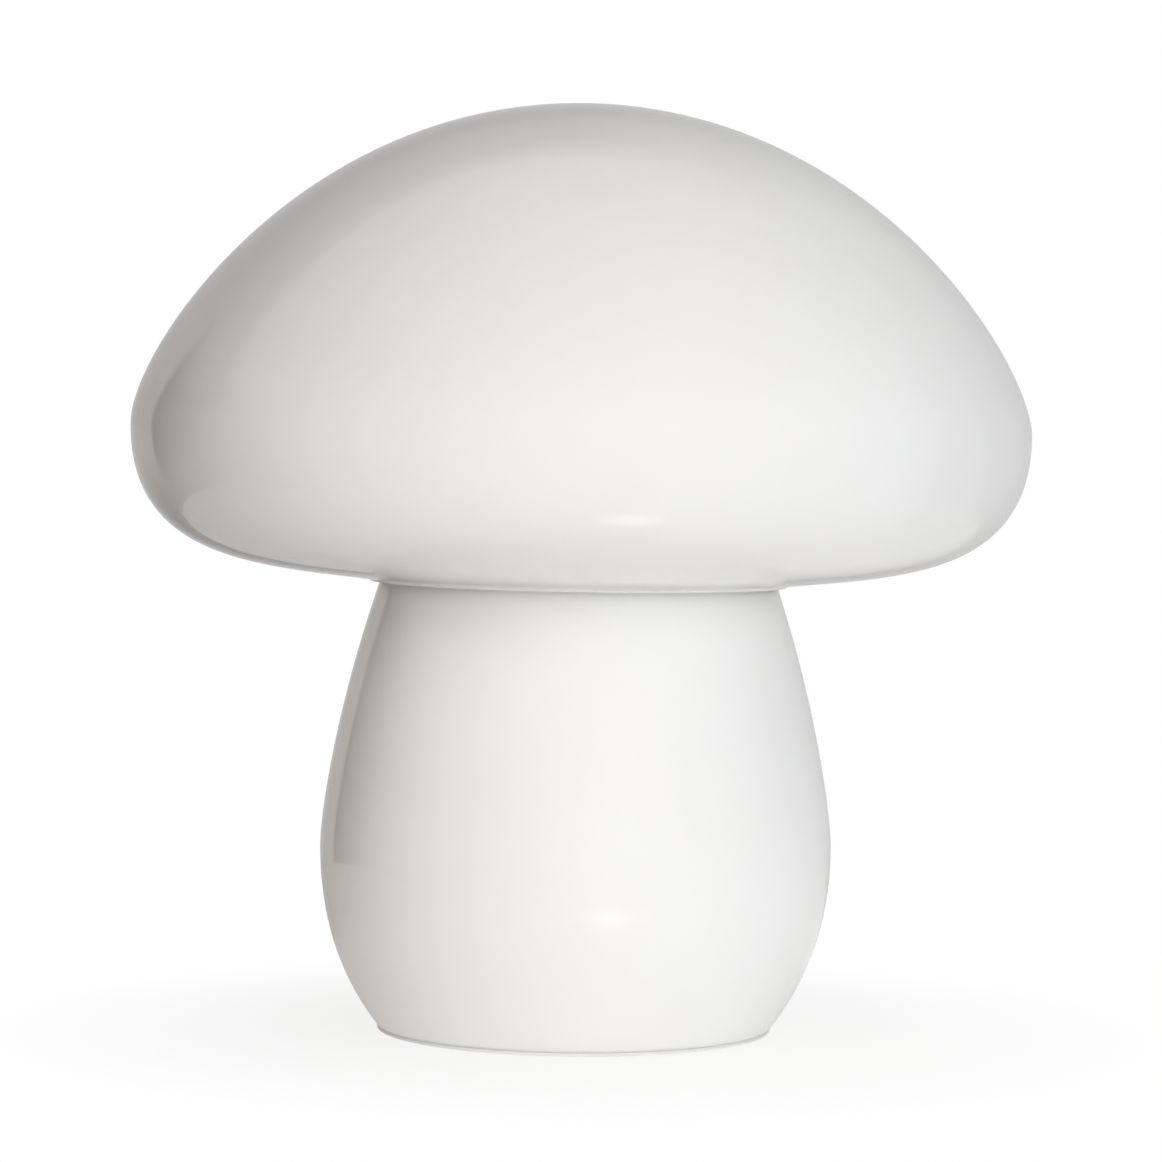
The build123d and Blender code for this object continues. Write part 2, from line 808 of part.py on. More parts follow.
# ---- Wires from the block, through the slot and up the tube to the holder ----
block_front = block_distance - block_depth / 2
wire_start = block_front + block_insert_inset + wire_end_length
wire_turns = [wire_bend_radius] * 3 + [wire_end_bend_radius] * 2
for side, name in ((-1, "wire_live"), (1, "wire_neutral")):
    block_x = side * block_pitch / 2
    tube_x = side * wire_spacing / 2
    holder_x = side * terminal_spacing / 2
    with BuildPart() as wire:
        with BuildLine() as route:
            FilletPolyline(
                (block_x, wire_start, wire_height),
                (block_x, block_front - 2 * wire_radius, wire_height),
                (tube_x, block_front - 2 * wire_end_length, wire_height),
                (tube_x, 0, wire_height),
                (tube_x, 0, tube_top + block_clearance),
                (holder_x, 0, holder_seam - block_clearance),
                (holder_x, 0, holder_seam + wire_end_length),
                radius=wire_turns,
            )
        path = route.wire()
        with BuildSketch(Plane(origin=path @ 0, z_dir=path % 0)):
            Circle(wire_radius)
        sweep(path=path)
    print(name, "bend radii", wire_turns, "volume over section times length",
          round(wire.part.volume / (pi * wire_radius**2 * path.length), 4))
    save(wire, name)
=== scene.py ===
# %% [markdown]
# # A mushroom lamp in opal glass
# The real lamp is two blown glasses: a domed cap that rests on the neck of a barrel-shaped stem.
# Under the cap stand a lamp holder and a bulb, and a pressed steel plate closes the foot.
# The CAD model gives every piece its place. Blender gives each piece its fine form and its finish.

# %% Load the CAD frame
from math import asin, cos, pi, radians, sin, sqrt, tan

import bmesh
import bpy
from mathutils import Matrix, Vector, noise
from mathutils.geometry import interpolate_bezier


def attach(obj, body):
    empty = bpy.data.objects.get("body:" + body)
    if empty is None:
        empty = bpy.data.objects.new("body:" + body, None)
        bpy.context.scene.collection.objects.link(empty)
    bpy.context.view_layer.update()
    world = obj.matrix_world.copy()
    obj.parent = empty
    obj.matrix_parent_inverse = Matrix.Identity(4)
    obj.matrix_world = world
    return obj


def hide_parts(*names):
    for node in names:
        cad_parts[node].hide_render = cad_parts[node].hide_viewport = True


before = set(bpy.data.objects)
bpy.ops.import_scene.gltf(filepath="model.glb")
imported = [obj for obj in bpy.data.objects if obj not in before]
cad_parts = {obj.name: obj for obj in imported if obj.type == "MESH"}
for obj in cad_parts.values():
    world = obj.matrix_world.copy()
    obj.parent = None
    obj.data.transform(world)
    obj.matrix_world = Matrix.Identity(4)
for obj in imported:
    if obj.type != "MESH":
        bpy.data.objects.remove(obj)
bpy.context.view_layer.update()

# %% [markdown]
# ## Colours and nodes
# A colour picker shows sRGB values, but a shader socket holds linear light, so one function turns
# the first into the second. A second function adds a node with its settings and links, and a
# third lets one value follow another between two limits. All the finishes below are made with
# these three.

# %% Three helpers for every finish
MM = 0.001


def linear(colour):
    """An sRGB hex colour as the linear red, green, blue and alpha of a shader socket."""
    parts = [int(colour[i:i + 2], 16) / 255 for i in (0, 2, 4)]
    return [c / 12.92 if c <= 0.04045 else ((c + 0.055) / 1.055) ** 2.4 for c in parts] + [1.0]


def add(tree, kind, inputs=(), **settings):
    """Adds a node. Inputs maps a socket to a value, or to the output that it is linked from."""
    node = tree.nodes.new("ShaderNode" + kind)
    for name, value in settings.items():
        setattr(node, name, value)
    for key, value in dict(inputs).items():
        if isinstance(value, bpy.types.NodeSocket):
            tree.links.new(value, node.inputs[key])
        else:
            node.inputs[key].default_value = value
    return node


def follow(tree, value, low, high, start=0.0, end=1.0):
    """Runs from start to end while the value passes from low to high."""
    return add(tree, "MapRange", {
        "Value": value, "From Min": low, "From Max": high, "To Min": start, "To Max": end,
    }).outputs[0]


# %% [markdown]
# ## The camera
# The lamp was photographed with a long lens from about a metre and a half, from just above the
# cap's widest ring. The lens, height and distance were found from the outline of the two glasses.
# The camera also leans by a little over half a degree, so the lamp stands askew in the picture.

# %% Place the camera
camera_place = Vector((0.85, -1457.0, 208.5)) * MM
camera_pitch = radians(2.264)
camera_roll = radians(0.65)
camera_data = bpy.data.cameras.new("camera")
camera_data.lens = 134.89
camera_data.sensor_width = 36.0
camera = bpy.data.objects.new("camera", camera_data)
bpy.context.scene.collection.objects.link(camera)
bpy.context.scene.camera = camera
camera.matrix_world = (
    Matrix.Translation(camera_place)
    @ Matrix.Rotation(radians(90) - camera_pitch, 4, "X")
    @ Matrix.Rotation(camera_roll, 4, "Z")
)
bpy.context.scene.view_settings.view_transform = "Standard"
print("camera lens, mm:", camera_data.lens)

# %% [markdown]
# ## A pale studio
# White glass is lit softly, here by one broad light at the front right, with weaker ones round
# it, so that its left edge stays grey against the white ground. The world holds them as panels,
# each a smooth patch of light round its own direction, with a tint: warm from the left, cool from
# the ceiling. The last panel stands behind the lamp and lights its back.

# %% The soft panels of light
world = bpy.data.worlds.new("studio")
bpy.context.scene.world = world
world.use_nodes = True
sky = world.node_tree
sky.nodes.clear()
direction = add(sky, "TexCoord").outputs["Generated"]
# Degrees to the camera's right, degrees up, brightness and tint of each panel.
panels = [
    (20, 5, 6.85, "F6FAFF"), (20, -20, 0.6, "FFF2E1"), (-40, 30, 1.85, "FFEFE1"),
    (30, 60, 1.2, "F4F6FF"), (90, 55, 1.15, "FFFEEC"), (-35, -10, 0.6, "FFF2E8"),
    (180, -5, 2.2, "FBFBFF"),
]
panel_softness = 16.0
light = (0.0, 0.0, 0.0)
for right, up, brightness, tint in panels:
    flat = cos(radians(up))
    towards = (sin(radians(right)) * flat, -cos(radians(right)) * flat, sin(radians(up)))
    facing = add(sky, "VectorMath", {0: direction, 1: towards}, operation="DOT_PRODUCT")
    ahead = add(sky, "Math", {0: facing.outputs["Value"], 1: 0.0}, operation="MAXIMUM")
    patch = add(sky, "Math", {0: ahead.outputs[0], 1: panel_softness}, operation="POWER")
    light = add(sky, "VectorMath", {
        0: patch.outputs[0], 1: Vector(linear(tint)[:3]) * brightness, 2: light,
    }, operation="MULTIPLY_ADD").outputs[0]
lamps = add(sky, "Background", {"Color": light, "Strength": 1.0})
print(len(panels), "panels of light")

# %% [markdown]
# ## What the glass mirrors
# Only the rays that light the lamp see the panels. The camera sees plain white instead, and
# mirrored and refracted rays find the white room that glass should reflect. It is drawn by three
# ramps of grey. One goes round the lamp at its height, with the dark flag that stood behind it at
# its left. One lies below the horizon. One rises over the lamp, from the grey wall behind it to
# the ceiling and down to the front. They are blended by how high and how far right a ray goes.


# %% The white room that the camera and the glass see
def white_rays(tree):
    """1 for a ray from the camera, a mirrored ray or a refracted one, and 0 for the others."""
    seen = add(tree, "LightPath").outputs
    sharp = add(tree, "Math", {0: seen["Is Camera Ray"], 1: seen["Is Glossy Ray"]},
                operation="MAXIMUM")
    return add(tree, "Math", {0: sharp.outputs[0], 1: seen["Is Transmission Ray"]},
               operation="MAXIMUM").outputs[0]


def greys(side, start, stops):
    """A ramp of colours over the angle whose sine and cosine are in side, in degrees past -180."""
    angle = add(sky, "Math", {0: side[0], 1: side[1]}, operation="ARCTAN2")
    ramp = add(sky, "ValToRGB", {0: follow(sky, angle.outputs[0], -pi, pi)})
    ends = ramp.color_ramp.elements
    ends[0].color = ends[1].color = linear(start)
    for degrees, grey in stops:
        ends.new(degrees / 360).color = linear(grey)
    return ramp.outputs[0]


def blend(share, low, high):
    """Mixes two colours of the studio."""
    return add(sky, "Mix", {0: share, 6: low, 7: high}, data_type="RGBA").outputs[2]


x, y, z = add(sky, "SeparateXYZ", {0: direction}).outputs
# Round the lamp, from the front (0) by the left (90), the back (180) and the right (270).
bright = "F8F8F8"
level = greys((x, y), bright, ((75, bright), (100, "BCBCBC"), (116, "303030"), (138, "000000"),
                               (141, "C8C8C8"), (180, "CCCCCC"), (220, "ECECEC")))
below = greys((x, y), bright, ((60, bright), (110, "8C827A"), (140, "74685F"), (175, "7C7068"),
                               (195, "C4C4C4"), (230, "ECECEC")))
# Over the lamp, from the back (180) up the wall to the ceiling (270) and down to the front.
over = greys((z, y), bright, ((180, "B4B4B4"), (224, "ACACAC"), (227, "909090"),
                              (230, "B4B4B4"), (234, "BCBCBC"), (238, bright)))
to_right, to_level, to_over = (0.0, 0.45), (-0.28, -0.08), (0.25, 0.45)
over = blend(follow(sky, x, *to_right), over, linear("F4F4F4"))
mirrored = blend(follow(sky, z, *to_level), below, level)
mirrored = blend(follow(sky, z, *to_over), mirrored, over)
camera_ray = add(sky, "LightPath").outputs["Is Camera Ray"]
seen = blend(camera_ray, mirrored, linear("FFFFFF"))
white = add(sky, "Background", {"Color": seen, "Strength": 1.0})
which = add(sky, "MixShader", {0: white_rays(sky), 1: lamps.outputs[0], 2: white.outputs[0]})
add(sky, "OutputWorld", {"Surface": which.outputs[0]})
print(len(sky.nodes), "nodes in the studio")

# %% [markdown]
# ## The floor
# The table is a plain pale sheet, a metre across. It is a disc, made by filling a circle. Seen by
# the camera it is mostly a white glow with a share of lit paper in it, so the ground reads as
# white and still holds the lamp's shadow. In the glass it shows bright in front, and dimmer
# behind the lamp and close to it: a painted shadow of the lamp. A small bright spot at the front
# right shows only there, as the patch of light low on the stem. To the lamp the floor lends a soft
# glow, most from the right, that fades with distance. Its back is clear, to let the lamp be seen
# from below.

# %% Lay the floor
floor_radius = 0.5
bm = bmesh.new()
bmesh.ops.create_circle(bm, cap_ends=True, segments=96, radius=floor_radius)
floor_mesh = bpy.data.meshes.new("floor")
bm.to_mesh(floor_mesh)
bm.free()
floor = bpy.data.objects.new("floor", floor_mesh)
bpy.context.scene.collection.objects.link(floor)
paper = bpy.data.materials.new("white_paper_sheet")
paper.use_nodes = True
tree = paper.node_tree
tree.nodes.clear()
place = add(tree, "TexCoord").outputs["Object"]
grain_size = 25 * MM
grain = add(tree, "TexNoise", {"Vector": place, "Scale": 1 / grain_size})
shade = add(tree, "Mix", {0: grain.outputs["Fac"], 6: linear("F1F0EE"), 7: linear("F5F4F2")},
            data_type="RGBA")
painted = add(tree, "BsdfDiffuse", {"Color": shade.outputs[2]})


def product(one, other):
    """The product of two values in the floor's material."""
    return add(tree, "Math", {0: one, 1: other}, operation="MULTIPLY").outputs[0]


def either(choice, no, yes):
    """The first value where the choice is 0, and the second where it is 1."""
    return add(tree, "Mix", {0: choice, 2: no, 3: yes}, data_type="FLOAT").outputs[0]


rays = add(tree, "LightPath").outputs
across, deep, _ = add(tree, "SeparateXYZ", {0: place}).outputs
from_middle = add(tree, "VectorMath", {0: place}, operation="LENGTH").outputs["Value"]
# Distances are in metres, and shares of glow run from 0, plain paper, to 1, white light.
glint_place, glint_edge, glint_strength = (0.045, -0.205, 0.0), (0.01, 0.04), 2.2
from_glint = add(tree, "VectorMath", {0: place, 1: glint_place}, operation="DISTANCE")
glint = follow(tree, from_glint.outputs["Value"], *glint_edge, glint_strength, 0.0)
strength = add(tree, "Math", {0: product(rays["Is Glossy Ray"], glint), 1: 1.0},
               operation="ADD")
glowing = add(tree, "Emission", {"Color": linear("FFFFFF"), "Strength": strength.outputs[0]})
glow_seen = follow(tree, from_middle, 0.06, 0.2, 0.8, 1.0)
# The glow that the glass mirrors holds a painted shadow of the lamp: it is dimmer behind the lamp
# at its left, and close round its foot.
behind_left = add(tree, "Math", {0: deep, 1: across}, operation="SUBTRACT").outputs[0]
glow_mirrored = product(follow(tree, behind_left, 0.0, 0.3, 0.9, 0.25),
                        follow(tree, from_middle, 0.07, 0.15, 0.35, 1.0))
glow_lent = product(follow(tree, across, -0.35, 0.15, 0.0, 0.8),
                    follow(tree, from_middle, 0.2, 0.45, 1.0, 0.0))
glow_unseen = either(white_rays(tree), glow_lent, glow_mirrored)
glow_share = either(rays["Is Camera Ray"], glow_unseen, glow_seen)
front = add(tree, "MixShader", {
    0: glow_share, 1: painted.outputs[0], 2: glowing.outputs[0],
})
side = add(tree, "MixShader", {
    0: add(tree, "NewGeometry").outputs["Backfacing"],
    1: front.outputs[0],
    2: add(tree, "BsdfTransparent").outputs[0],
})
add(tree, "OutputMaterial", {"Surface": side.outputs[0]})
floor_mesh.materials.append(paper)
print("floor radius, m:", floor_radius)

# %% [markdown]
# ## Turned shapes
# Glass blown in a mould, a spun plate, a bulb: most of this lamp is round about one line. Such a
# piece is drawn once as a half outline and spun about the axis, as on a lathe. The outline of the
# glass is a chain of Bezier curves, the same as in the CAD model, so the two agree to a hair.

# %% Helpers that draw an outline and spin it
AXIS = (0.0, 0.0, 1.0)
SHARP = radians(38)


def curve_points(handles, steps):
    """Points along one Bezier curve, with its ends and handles as (radius, height) in mm."""
    return interpolate_bezier(*[Vector((r, 0, z)) * MM for r, z in handles], steps)


def draw(bm, points):
    """Adds points to a mesh and joins them into a chain. Returns the last one."""
    chain = [bm.verts.new(p) for p in points]
    for pair in zip(chain, chain[1:]):
        bm.edges.new(pair)
    return chain[-1]


def turn(bm, steps=192):
    """Spins what is drawn about the axis and closes the seam and the poles."""
    bmesh.ops.remove_doubles(bm, verts=bm.verts, dist=1e-6)
    bmesh.ops.spin(bm, geom=bm.verts[:] + bm.edges[:], cent=(0, 0, 0), axis=AXIS,
                   angle=2 * pi, steps=steps, use_merge=True)
    bmesh.ops.remove_doubles(bm, verts=bm.verts, dist=1e-6)
    bmesh.ops.recalc_face_normals(bm, faces=bm.faces)


def piece_from(bm, name):
    """Makes an object of a finished mesh, smooth but for its sharp corners, and tells its size."""
    mesh = bpy.data.meshes.new(name)
    bm.to_mesh(mesh)
    bm.free()
    mesh.shade_smooth()
    mesh.set_sharp_from_angle(angle=SHARP)
    made = bpy.data.objects.new(name, mesh)
    bpy.context.scene.collection.objects.link(made)
    sides = [round(1000 * x, 1) for x in made.dimensions]
    print(name, "is", sides, "mm, with", len(mesh.polygons), "faces")
    return made


def stand_for(made, body, slot, coat, *nodes):
    """Gives a piece its finish and its body, and hides the CAD nodes that it stands for."""
    made.data.materials.append(coat)
    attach(made, body)
    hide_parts(*nodes)


# %% [markdown]
# ## Opal glass
# Opal glass is milky through and through, with a clear skin that the fire leaves glossy. It looks
# soft because light enters, scatters a few millimetres deep and comes out again, which Subsurface
# does. Blown glass is never quite even: the milk drifts over a few centimetres, and the skin has
# a faint swell that bends its reflections. The IOR is that of soda glass.

# %% Opal glass finish
opal = bpy.data.materials.new("blown_opal_glass")
opal.use_nodes = True
tree = opal.node_tree
tree.nodes.clear()
place = add(tree, "TexCoord").outputs["Object"]
drift_size, swell_size, swell_depth = 45 * MM, 30 * MM, 0.2 * MM
drift = add(tree, "TexNoise", {"Vector": place, "Scale": 1 / drift_size, "Detail": 2.0})
milk = add(tree, "Mix", {0: drift.outputs["Fac"], 6: linear("EFEDEA"), 7: linear("F3F2F0")},
           data_type="RGBA")
swell = add(tree, "TexNoise", {"Vector": place, "Scale": 1 / swell_size, "Detail": 1.0})
skin = add(tree, "Bump", {"Height": swell.outputs["Fac"], "Strength": 0.25,
                          "Distance": swell_depth})
polish = follow(tree, drift.outputs["Fac"], 0.0, 1.0, 0.035, 0.055)
glass = add(tree, "BsdfPrincipled", {
    "Base Color": milk.outputs[2],
    "Roughness": polish,
    "IOR": 1.52,
    "Subsurface Weight": 0.5,
    "Subsurface Radius": (1.0, 0.95, 0.9),
    "Subsurface Scale": 5 * MM,
    "Normal": skin.outputs[0],
})
add(tree, "OutputMaterial", {"Surface": glass.outputs[0]})

# %% [markdown]
# ## The cap glass
# The outline runs from the crown over the widest ring and under to the lip. The wall is three
# millimetres thick, so the same outline is drawn again, moved in. Between the two, the fire has
# drawn the lip to a fine round bead, which catches the light as a thin bright line. The cap rests
# a little askew on its seat, as such a cap does.

# %% Sizes of the cap
wall = 3.0
cap_radius, cap_top, cap_widest, lip_bottom = 150.0, 310.0, 201.5, 150.5
crown_fullness, shoulder_fullness, cheek_fullness, lip_fullness = 0.63, 0.23, 0.97, 0.38
neck_taper = radians(17.4)
rim_radius, rim_top = 61.6, 166.0
lip_slope = radians(9.2)
lip_round = wall / 2
lip_middle_height = lip_bottom + lip_round
seat_thickness, seat_clearance = 0.9, 0.3


def neck(height):
    """Outer radius of the stem's tapered neck."""
    return rim_radius + (rim_top - height) * tan(neck_taper)


seat_gap = seat_thickness + 2 * seat_clearance
lip_middle = neck(lip_middle_height) + (seat_gap + lip_round) / cos(neck_taper)


def lip_end(inset):
    """Where the outer (0) or the inner face (wall) of the glass ends at the lip."""
    inward = inset - lip_round
    return (lip_middle - inward * sin(lip_slope), lip_middle_height + inward * cos(lip_slope))


def crown(inset):
    """Handles from the crown to the widest ring."""
    radius, top = cap_radius - inset, cap_top - inset
    shoulder = cap_widest + shoulder_fullness * (top - cap_widest)
    return [(0, top), (crown_fullness * radius, top), (radius, shoulder), (radius, cap_widest)]


def cheek(inset):
    """Handles from the widest ring under to the lip."""
    radius, end = cap_radius - inset, lip_end(inset)
    low = cap_widest - cheek_fullness * (cap_widest - lip_bottom - inset)
    reach = lip_fullness * (radius - end[0])
    near_lip = (end[0] + reach * cos(lip_slope), end[1] + reach * sin(lip_slope))
    return [(radius, cap_widest), (radius, low), near_lip, end]


# %% Blow the cap
# Without a seed the noise would differ from run to run.
noise.seed_set(1)


def settle(bm, amount, seed):
    """Shifts a blown wall by a slow, faint noise, so that no two sides are quite the same."""
    for v in bm.verts:
        v.co += noise.noise_vector(v.co / (90 * MM) + Vector((seed, 0, 0))) * amount


outer_steps, inner_steps, glass_turns = 56, 40, 256
bead_radius, bead_middle = 0.6, Vector((lip_middle + 0.2, 0, lip_bottom + 0.15))
bead_start, bead_sweep, bead_steps = 20, 200, 16
angles = [radians(bead_start - bead_sweep * i / bead_steps) for i in range(bead_steps + 1)]
bead = [bead_middle + Vector((bead_radius * cos(a), 0, bead_radius * sin(a))) for a in angles]
inner_end, bead_step = lip_end(wall), 0.15
bead_end = Vector((inner_end[0] - bead_step, 0, inner_end[1] - wall / 2))
bm = bmesh.new()
draw(bm, curve_points(crown(0), outer_steps) + curve_points(cheek(0), outer_steps)[:-1]
     + [p * MM for p in bead + [bead_end]] + curve_points(cheek(wall), inner_steps)[::-1])
draw(bm, curve_points(crown(wall), inner_steps))
turn(bm, glass_turns)
settle(bm, 0.12 * MM, 3.0)
cap_lean = Matrix.Rotation(radians(0.45), 4, "Y")
bmesh.ops.rotate(bm, cent=(0, 0, lip_bottom * MM), matrix=cap_lean, verts=bm.verts)
cap = piece_from(bm, "cap_opal")
stand_for(cap, "cap", "opal_glass", opal, "cap_glass")

# %% [markdown]
# ## The stem glass
# The stem swells from a ground foot to the belly and narrows to a straight, tapered neck. It is
# drawn in the same way. At its mouth a vertex spun by half a turn makes the round, fire-polished
# rim between the two faces.

# %% Sizes of the stem
foot_radius, foot_height, foot_lean = 65.9, 1.9, radians(38.0)
belly_radius, belly_height = 85.6, 62.4
neck_length = 26.0
neck_foot = rim_top - neck_length
foot_fullness, hip_fullness, waist_fullness, neck_fullness = 0.21, 0.53, 0.14, 0.46


def hip(inset):
    """Handles from the ground foot to the belly."""
    foot, belly = foot_radius - inset / cos(foot_lean), belly_radius - inset
    rise = belly_height - foot_height
    reach = foot_fullness * rise
    return [
        (foot, foot_height),
        (foot + reach * sin(foot_lean), foot_height + reach * cos(foot_lean)),
        (belly, belly_height - hip_fullness * rise),
        (belly, belly_height),
    ]


def shoulder(inset):
    """Handles from the belly to the foot of the straight neck."""
    belly, top = belly_radius - inset, neck(neck_foot) - inset / cos(neck_taper)
    rise = neck_foot - belly_height
    reach = neck_fullness * rise
    return [
        (belly, belly_height),
        (belly, belly_height + waist_fullness * rise),
        (top + reach * sin(neck_taper), neck_foot - reach * cos(neck_taper)),
        (top, neck_foot),
    ]


rim_end_height = rim_top - wall / 2 * (1 - sin(neck_taper))
rim_end = Vector((neck(rim_end_height), 0, rim_end_height))
rim_across = Vector((-cos(neck_taper), 0, -sin(neck_taper))) * wall
rim_inner = rim_end + rim_across
print("stem rim, mm:", [round(x, 2) for x in rim_end], [round(x, 2) for x in rim_inner])

# %% Blow the stem
outer_steps = 48
bm = bmesh.new()
end = draw(bm, curve_points(hip(0), outer_steps) + curve_points(shoulder(0), outer_steps)
           + [rim_end * MM])
bmesh.ops.spin(bm, geom=[end], cent=(rim_end + rim_inner) / 2 * MM, axis=(0, 1, 0),
               angle=-pi, steps=12)
draw(bm, [rim_inner * MM] + curve_points(shoulder(wall), inner_steps)[::-1]
     + curve_points(hip(wall), inner_steps)[::-1]
     + [Vector((foot_radius, 0, foot_height)) * MM])
turn(bm, glass_turns)
settle(bm, 0.1 * MM, 11.0)
stem = piece_from(bm, "stem_opal")
stand_for(stem, "stem", "opal_glass", opal, "stem_glass")

# %% [markdown]
# ## Rounded outlines and cuts
# Moulded, pressed and turned pieces have no sharp corner. Their outline is drawn by its corners,
# each with its own radius, and the vertex bevel rounds it before it is spun. Holes and slots are
# cut by the Boolean modifier. Its result is kept as the mesh, and the cutter is thrown away.

# %% Helpers for turned, pressed and cut pieces
def draw_corners(bm, corners, closed=True):
    """Draws an outline of (radius, height, rounding) corners in millimetres and rounds them."""
    chain = [bm.verts.new(Vector((r, 0, z)) * MM) for r, z, _ in corners]
    for pair in zip(chain, chain[1:] + chain[:1] if closed else chain[1:]):
        bm.edges.new(pair)
    for vertex, (_, _, rounding) in zip(chain, corners):
        if rounding:
            away = [edge.other_vert(vertex).co - vertex.co for edge in vertex.link_edges]
            reach = rounding * MM / tan(away[0].angle(away[1]) / 2)
            bmesh.ops.bevel(bm, geom=[vertex], affect="VERTICES", offset=reach,
                            offset_type="OFFSET", segments=4, profile=0.5, material=-1)


def turned(name, corners, steps=96, closed=True):
    """A piece of revolution from its rounded outline."""
    bm = bmesh.new()
    draw_corners(bm, corners, closed)
    turn(bm, steps)
    return piece_from(bm, name)


def bake(made):
    """Turns what a piece's modifiers make of it into its own mesh."""
    graph = bpy.context.evaluated_depsgraph_get()
    made.data = bpy.data.meshes.new_from_object(made.evaluated_get(graph))
    made.modifiers.clear()
    made.data.set_sharp_from_angle(angle=SHARP)


def cut(made, cutter, operation="DIFFERENCE"):
    """Combines a piece with a cutter by the Boolean modifier and keeps the result as its mesh."""
    modifier = made.modifiers.new("cut", "BOOLEAN")
    modifier.operation, modifier.solver, modifier.object = operation, "EXACT", cutter
    bake(made)
    bpy.data.objects.remove(cutter)
    print(made.name, "has", len(made.data.polygons), "faces after the cut")


def drill(radius, depth, matrix):
    """A cylinder to cut with, along Z through the middle of its matrix. Sizes in millimetres."""
    bm = bmesh.new()
    bmesh.ops.create_cone(bm, cap_ends=True, segments=48, radius1=radius * MM,
                          radius2=radius * MM, depth=depth * MM, matrix=matrix)
    return piece_from(bm, "drill")


def brick(size, centre):
    """A box to cut with. Sizes in millimetres."""
    bm = bmesh.new()
    matrix = Matrix.LocRotScale(Vector(centre) * MM, None, Vector(size) * MM)
    bmesh.ops.create_cube(bm, size=1.0, matrix=matrix)
    return piece_from(bm, "brick")


def repeat(made, count, first):
    """Turns a piece's mesh to a first angle in degrees and repeats it evenly about the axis."""
    bm = bmesh.new()
    bm.from_mesh(made.data)
    bmesh.ops.rotate(bm, cent=(0, 0, 0), matrix=Matrix.Rotation(radians(first), 3, "Z"),
                     verts=bm.verts)
    bmesh.ops.spin(bm, geom=bm.verts[:] + bm.edges[:] + bm.faces[:], cent=(0, 0, 0), axis=AXIS,
                   angle=2 * pi * (count - 1) / count, steps=count - 1, use_duplicate=True)
    bm.to_mesh(made.data)
    bm.free()


# %% [markdown]
# ## A finish from a few numbers
# The pieces inside are moulded, plated, pressed or fired. Each finish is two close colours that
# drift over some millimetres, a gloss that drifts with them, and a grain of a real size and depth.

# %% One function for the plainer finishes
def finish(name, colours, drift_size, gloss, grain, constants):
    """A material. Sizes are in millimetres, gloss is the lowest and highest roughness, and grain
    is the size and depth of the relief. Constants go on the shader's own sockets."""
    made = bpy.data.materials.new(name)
    made.use_nodes = True
    tree = made.node_tree
    tree.nodes.clear()
    place = add(tree, "TexCoord").outputs["Object"]
    drift = add(tree, "TexNoise", {"Vector": place, "Scale": 1 / (drift_size * MM),
                                   "Detail": 3.0})
    even = follow(tree, drift.outputs["Fac"], 0.3, 0.7)
    colour = add(tree, "Mix", {0: even, 6: linear(colours[0]), 7: linear(colours[1])},
                 data_type="RGBA")
    pits = add(tree, "TexNoise", {"Vector": place, "Scale": 1 / (grain[0] * MM), "Detail": 2.0})
    relief = add(tree, "Bump", {"Height": pits.outputs["Fac"], "Distance": grain[1] * MM})
    shader = add(tree, "BsdfPrincipled", {
        "Base Color": colour.outputs[2], "Roughness": follow(tree, even, 0.0, 1.0, *gloss),
        "Normal": relief.outputs[0], **constants,
    })
    add(tree, "OutputMaterial", {"Surface": shader.outputs[0]})
    return made


# %% [markdown]
# ## The finishes inside
# Silicone is soft and cloudy. Powder coat has a fine orange peel. Zinc plating is a satin grey
# with a cool tinge, nickel is smoother and warmer, and brass shows its yellow. Steatite is an
# unglazed white ceramic with a dry, even grain. The bulb's cover scatters light, so it gets some
# Subsurface. Grains finer than half a millimetre are drawn that coarse, because finer ones don't
# show in the picture.

# %% Make the finishes
silicone = finish("moulded_clear_silicone", ("EEEEEB", "F3F3F0"), 8, (0.35, 0.45), (0.8, 0.01),
                  {"IOR": 1.41, "Subsurface Weight": 0.6, "Subsurface Scale": 2 * MM,
                   "Subsurface Radius": (1.0, 1.0, 1.0)})
powder_coat = finish("white_powder_coated_steel", ("E2E0DC", "E9E7E3"), 20, (0.42, 0.52),
                     (0.7, 0.03), {"IOR": 1.5})
zinc = finish("zinc_plated_steel", ("AEB2B6", "C2C1BC"), 5, (0.28, 0.42), (0.5, 0.008),
              {"Metallic": 1.0})
holder_plastic = finish("moulded_white_polyester", ("DDDAD1", "E6E3DB"), 15, (0.38, 0.48),
                        (0.5, 0.008), {"IOR": 1.55})
steatite = finish("unglazed_steatite", ("E0DCD0", "E9E5DA"), 6, (0.65, 0.8), (0.5, 0.02),
                  {"IOR": 1.6})
brass = finish("plain_sheet_brass", ("B5924E", "CCAA62"), 4, (0.22, 0.36), (0.5, 0.006),
               {"Metallic": 1.0})
cover_plastic = finish("opal_polycarbonate", ("EFEEEA", "F5F4F1"), 20, (0.3, 0.38), (0.5, 0.004),
                       {"IOR": 1.58, "Subsurface Weight": 0.5, "Subsurface Scale": 3 * MM,
                        "Subsurface Radius": (1.0, 1.0, 1.0)})
bulb_plastic = finish("gloss_white_polyester", ("E8E7E3", "F0EFEC"), 12, (0.2, 0.28),
                      (0.6, 0.004), {"IOR": 1.55})
nickel = finish("nickel_plated_brass", ("BAB5AB", "CBC7BF"), 4, (0.16, 0.26), (0.5, 0.005),
                {"Metallic": 1.0})
black_glass = finish("black_insulating_glass", ("0B0B0E", "18181C"), 5, (0.08, 0.15), (1.0, 0.02),
                     {"IOR": 1.6})
solder = finish("tinned_solder", ("A6A7A6", "BEBEBB"), 2, (0.25, 0.4), (1.2, 0.06),
                {"Metallic": 1.0})
lacquered_board = finish("white_lacquered_aluminium", ("DDDEDB", "E8E8E5"), 5, (0.28, 0.36),
                         (0.6, 0.006), {"IOR": 1.5})
